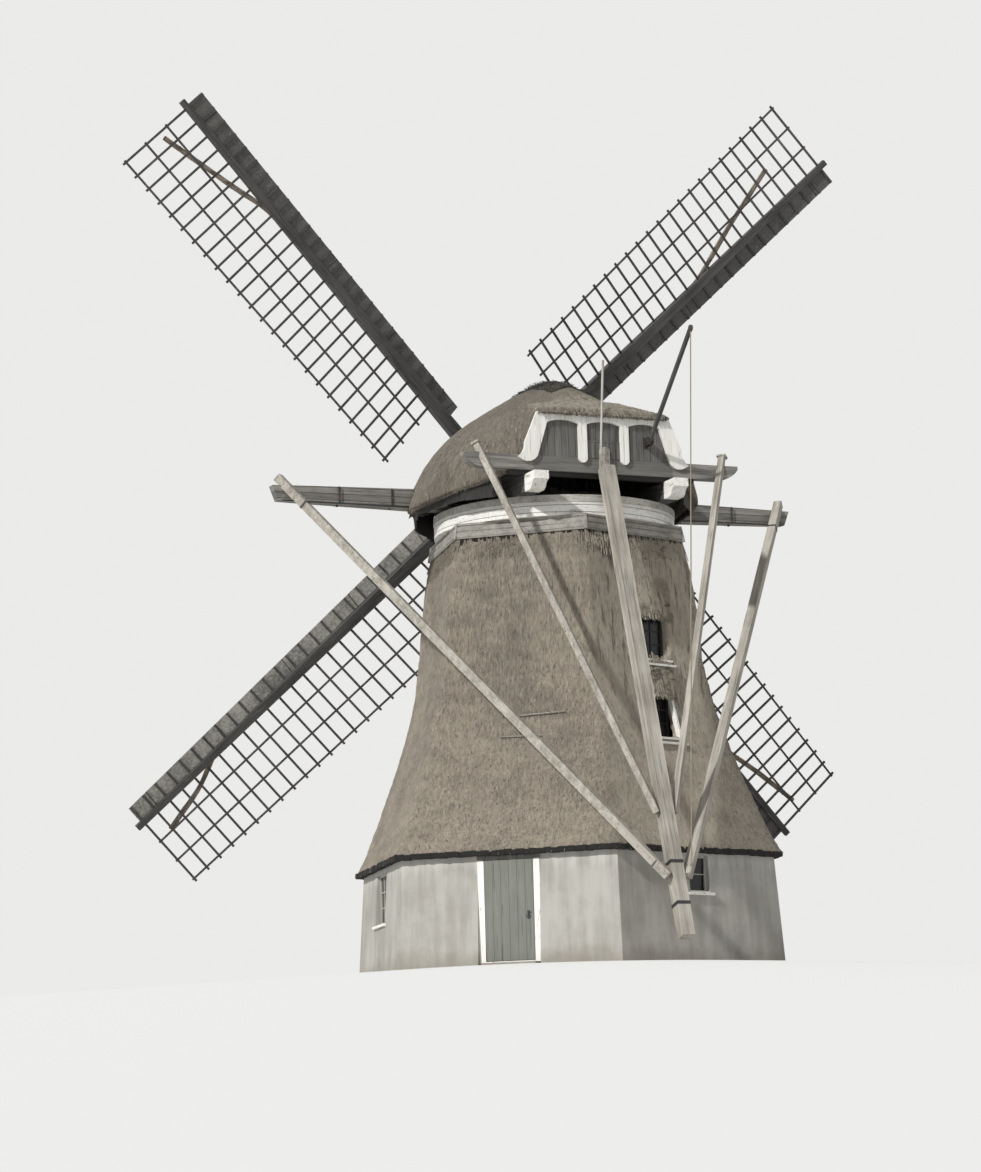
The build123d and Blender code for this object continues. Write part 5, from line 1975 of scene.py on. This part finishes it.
@dataclass
class Sails:
    """Stocks, lattices, windboards and rolled cloths.

    A row of rolls holds the places that the rolled cloth of one sail passes, along the stock and across it.
    """

    nodes: dict[str, bpy.types.Object]
    iron: bpy.types.Material
    half: float = 12.08
    hub_size: float = 0.33
    tip_size: float = 0.14
    tip_flat: float = 0.85
    offset: float = 0.19
    bar_first: float = 2.66
    bar_last: float = 11.87
    bar_thick: float = 0.032
    twist_hub: float = math.tan(math.radians(19.0))
    twist_tip: float = math.tan(math.radians(-4.0))
    roll_radius: float = 0.066
    roll_core: float = 0.012
    roll_seat: float = 0.0745
    roll_ends: int = 6
    tie_pitch: float = 1.6
    cloth_width: float = 1.55
    rolls: tuple[tuple[tuple[float, float], ...], ...] = (
        ((2.5, -0.06), (6.1, -0.07), (7.45, 0.02), (9.15, 0.52), (10.75, 0.90)),
        ((2.5, -0.06), (5.2, -0.07), (7.5, -0.06), (8.85, 0.03), (9.9, 0.37), (11.7, 0.85)),
        ((2.5, -0.06), (5.2, -0.07), (7.3, -0.05), (9.4, -0.01), (10.3, 0.40), (11.5, 0.64)),
        ((2.5, -0.06), (5.2, -0.07), (7.9, -0.04), (9.2, 0.16), (10.3, 0.47), (11.6, 0.72)),
    )

    def build(self) -> None:
        """Dress the sails and furl their cloths."""
        dresser = Dresser(self.nodes)
        dresser.dress("windshaft", self.iron, 0.01)
        for number, name in enumerate(("stock_outer", "stock_inner")):
            dresser.dress(name, Wood.TAR.along(name, self.arm(number)[0]), 0.014)
        for number, name in enumerate(SAIL_NAMES):
            dresser.dress("lattice_" + name, Wood.TAR.along("lattice_" + name, self.arm(number)[1]), 0.003)
        dresser.dress("windboards", WindBoards(self.arm(2)[0]).build(), 0.004)
        canvas = Canvas().build()
        ties = Pile()
        for number, line in enumerate(self.rolls):
            self.furl(number, line, canvas, ties)
        tarred = Rope("tie_rope", (0.30, 0.26, 0.20), (0.12, 0.10, 0.08))
        ties.finish("sail_ties", "sails", tarred.build(), "rope")
        self.irons()

    def arm(self, number: int) -> tuple[Vector, Vector, Vector]:
        """Directions of a sail.

        Args:
            number: of the sail, anticlockwise from the top right one.

        Returns:
            Out along the stock, across to the lattice, and back along the shaft.
        """
        turn = SAIL_TURN + math.pi / 2 * number
        out = RIGHT * math.cos(turn) + RAISED * math.sin(turn)
        side = RAISED * math.cos(turn) - RIGHT * math.sin(turn)
        return out, side, -SHAFT

    def at(self, number: int, reach: float, side: float, back: float) -> Vector:
        """A point on a sail.

        Args:
            number: of the sail.
            reach: out along the stock.
            side: across to the lattice.
            back: behind the middle of the stock.

        Returns:
            The point.
        """
        out, across, behind = self.arm(number)
        offset = self.offset if number % 2 else -self.offset
        return HUB + out * reach + across * side + behind * (back + offset)

    def twist(self, reach: float) -> float:
        """Slope of the lattice against the plane of the sails."""
        part = (reach - self.bar_first) / (self.bar_last - self.bar_first)
        return self.twist_hub + (self.twist_tip - self.twist_hub) * part

    def front(self, reach: float, side: float, radius: float) -> float:
        """Where the middle of a roll lies in front of the stock or the bars.

        Args:
            reach: out along the stock.
            side: across to the lattice.
            radius: of the roll.

        Returns:
            Its place back along the shaft, below zero because it lies in front.
        """
        stock = (self.hub_size + (self.tip_size * self.tip_flat - self.hub_size) * reach / self.half) / 2
        slope = self.twist(reach)
        bar = self.bar_thick / 2 * math.hypot(1.0, slope) - side * slope
        return -(max(stock, bar) + radius)

    def line(self, number: int, stops: Sequence[tuple[float, float]], steps: int) -> list[Vector]:
        """The smoothed middle line of a rolled cloth.

        Args:
            number: of the sail.
            stops: places along and across the sail that the roll passes.
            steps: number of points.

        Returns:
            The points.
        """
        ends = self.roll_ends
        reach = np.linspace(stops[0][0], stops[-1][0], steps)
        side = np.interp(reach, [r for r, _ in stops], [s for _, s in stops])
        kernel = np.hanning(2 * ends + 1)
        kernel /= kernel.sum()
        beyond = side[-1] + (side[-1] - side[-2]) * np.arange(1, ends + 1)
        side = np.convolve(np.concatenate([np.full(ends, side[0]), side, beyond]), kernel, "valid")
        depth = np.array([self.front(r, s, self.roll_seat) for r, s in zip(reach, side)])
        padded = np.concatenate([np.full(ends, depth[0]), depth, np.full(ends, depth[-1])])
        depth = np.minimum(np.convolve(padded, kernel, "valid"), depth)
        return [self.at(number, r, s, d) for r, s, d in zip(reach, side, depth)]

    def furl(self, number: int, stops: Sequence[tuple[float, float]], canvas: bpy.types.Material,
             ties: Pile) -> None:
        """Roll up one cloth: a spiral of canvas along its line, creased, and slack between its ties.

        Args:
            number: of the sail.
            stops: places along and across the sail that the roll passes.
            canvas: finish of the cloth.
            ties: takes the ties round the roll.
        """
        steps, around = 110, 92
        line = self.line(number, stops, steps)
        length = sum((b - a).length for a, b in zip(line, line[1:]))
        pile = Pile()
        points, runs, faces = [], [], []
        travel = 0.0
        for step, middle in enumerate(line):
            ahead = (line[min(step + 1, steps - 1)] - line[max(step - 1, 0)]).normalized()
            if step:
                travel += (middle - line[step - 1]).length
            points += self.spiral(number, middle, ahead, travel, around)
            runs += [Vector((self.cloth_width * place / around, travel, 0.0)) for place in range(around + 1)]
        for step in range(steps - 1):
            for place in range(around):
                a = step * (around + 1) + place
                faces.append([a, a + 1, a + around + 2, a + around + 1])
        pile.add(points, faces, runs)
        name = "sailcloth_" + SAIL_NAMES[number]
        replaced = ("sailcloths",) if number == 0 else ()
        cloth = pile.finish(name, "sails", canvas, "canvas", replaced, smooth=True)
        stock = "stock_inner" if number % 2 else "stock_outer"
        self.tie_up(line, ties)

    def spiral(self, number: int, middle: Vector, ahead: Vector, travel: float, around: int) -> list[Vector]:
        """One section through a rolled cloth, creased, and pinched at the ties.

        Args:
            number: of the sail.
            middle: middle of the section.
            ahead: direction of the roll.
            travel: how far the section is along the roll.
            around: pieces that the section is divided into.

        Returns:
            Its points, from the core out.
        """
        side = ahead.cross(SHAFT).normalized()
        up = side.cross(ahead)
        outer, inner = self.roll_radius, self.roll_core
        turns = self.cloth_width / (math.pi * (outer + inner))
        pinch = math.exp(-((travel % self.tie_pitch) - self.tie_pitch / 2) ** 2 / 0.004)
        slack = 1.0 + 0.06 * math.sin(travel * 4.4 + number) - 0.10 * pinch
        points = []
        for place in range(around + 1):
            part = place / around
            angle = math.tau * turns * part + travel * 0.55 + number
            radius = (inner + (outer - inner) * part) * min(slack, 1.05)
            spot = (travel * 1.3, math.cos(angle) * 1.6, math.sin(angle) * 1.6 + 5.0 * number)
            fold = 1.0 + 0.10 * noise.noise(Vector(spot)) + 0.05 * math.sin(angle * 3.0 + travel * 2.2)
            ripple = 0.0025 * noise.noise(Vector((travel * 9.0, angle, 3.0 * number)))
            out = side * math.cos(angle) + up * math.sin(angle)
            points.append(middle + out * (radius * min(fold, 1.08) + ripple))
        return points

    def tie_up(self, line: Sequence[Vector], ties: Pile) -> None:
        """Lay the ties round a rolled cloth.

        Args:
            line: its middle line.
            ties: takes the ties.
        """
        travel, mark = 0.0, self.tie_pitch / 2
        for first, second in zip(line, line[1:]):
            travel += (second - first).length
            if travel > mark:
                ties.ring(second, (second - first).normalized(), self.roll_radius * 0.97, 0.007)
                mark += self.tie_pitch

    def irons(self) -> None:
        """Bands and wedges at the poll end, and bands along the stocks."""
        pile = Pile()
        for number in range(4):
            out, side, _ = self.arm(number)
            for reach in (0.62, 0.95, 1.55):
                size = self.hub_size + (self.tip_size - self.hub_size) * reach / self.half
                pile.band(self.at(number, reach, 0.0, 0.0), out, side, (size, size), 0.08, 0.008)
        out = self.arm(0)[0]
        for place in (-0.46, 0.46):
            pile.band(HUB - SHAFT * place, -SHAFT, out, (0.64, 0.64), 0.07, 0.010)
        pile.finish("sail_irons", "sails", self.iron, "iron")
        wedges = Pile()
        for number in range(4):
            out, side, _ = self.arm(number)
            for way in (-1, 1):
                root = self.at(number, 0.33, way * 0.145, -0.172)
                wedges.bar(root, root + out * 0.16, 0.05, 0.02, side, 0.004)
        wedges.finish("stock_wedges", "sails", Wood.OAK.along("wedges", UP), "dark_wood")


@dataclass(frozen=True)
class WindBoards:
    """Tarred planks of the windboards: seams across them, and the boards of one sail drawn paler as painted
    sunlight.
    """

    sunlit_arm: Vector
    dark: Colour = (0.045, 0.043, 0.040)
    light: Colour = (0.135, 0.13, 0.12)
    board: Colour = (0.08, 0.077, 0.07)
    flaked: Colour = (0.21, 0.20, 0.18)
    sunlit_board_dark: Colour = (0.12, 0.115, 0.105)
    sunlit_board: Colour = (0.36, 0.345, 0.31)
    gap: Colour = (0.004, 0.004, 0.004)
    boards_per_metre: float = 0.44

    def build(self) -> bpy.types.Material:
        """Make the material.

        Returns:
            The material, ready to put on a piece.
        """
        shop = Shop("tarred_windboards")
        place = shop.place()
        hub = shop.make("ShaderNodeVectorMath", {"operation": "SUBTRACT"}, {0: place, 1: tuple(HUB)})
        reach = shop.make("ShaderNodeVectorMath", {"operation": "LENGTH"}, {0: hub}, out="Value")
        count = reach * self.boards_per_metre
        part = count.fract()
        edge = part.lesser(1.0 - part)
        seam = 1.0 - edge.between(0.002, 0.008)
        whole = {"W": count.floor()}
        tone = shop.make("ShaderNodeTexWhiteNoise", {"noise_dimensions": "1D"}, whole, out="Value")
        grain = shop.cloud(place, 14.0, 5.0, 0.7)
        stains = shop.cloud(place, 1.1, 4.0, 0.6)
        flakes = shop.cloud(place, 5.0, 5.0, 0.7).between(0.60, 0.68)
        colour = shop.mix((grain * 0.5 + stains * 0.5).between(0.35, 0.7), self.dark, self.light)
        colour = shop.mix(tone * 0.4, colour, self.board)
        colour = shop.mix(flakes * 0.35, colour, self.flaked)
        # The low left sail's boards, past the hub, take the paler colours: painted sunlight on that sail.
        pale = shop.mix((grain * 0.6 + stains * 0.4).between(0.35, 0.65), self.sunlit_board_dark, self.sunlit_board)
        colour = shop.mix(shop.reach(hub, self.sunlit_arm).between(1.0, 1.6), colour, pale)
        colour = shop.mix(seam * 0.9, colour, self.gap)
        return shop.close(colour, 0.7, grain * 0.5 - seam * 2.0, 0.004)


def main() -> None:
    """Build and dress the mill, then stand it in the studio."""
    logging.basicConfig(level=logging.INFO, format="%(message)s")
    random.seed(7)
    bpy.context.scene.view_settings.view_transform = "Standard"
    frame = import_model()
    nodes = frame["nodes"]
    studio = Studio()
    studio.camera()
    studio.sun()
    studio.air()
    studio.floor()

    reed = Thatch(paler_area=sunlit_right_facet).build()
    cap_reed = Thatch("cap_reed", (0.26, 0.225, 0.175), (0.11, 0.095, 0.075), paler_area=over_gable).build()
    iron = Iron().build()
    parts = {"brake": Brake(nodes, iron), "tower": Tower(nodes, reed), "cap": Cap(nodes, cap_reed),
             "tail": Tail(nodes, iron), "sails": Sails(nodes, iron)}
    for name, part in parts.items():
        part.build()
        LOG.info("%s is done", name)


if __name__ == "__main__":
    main()
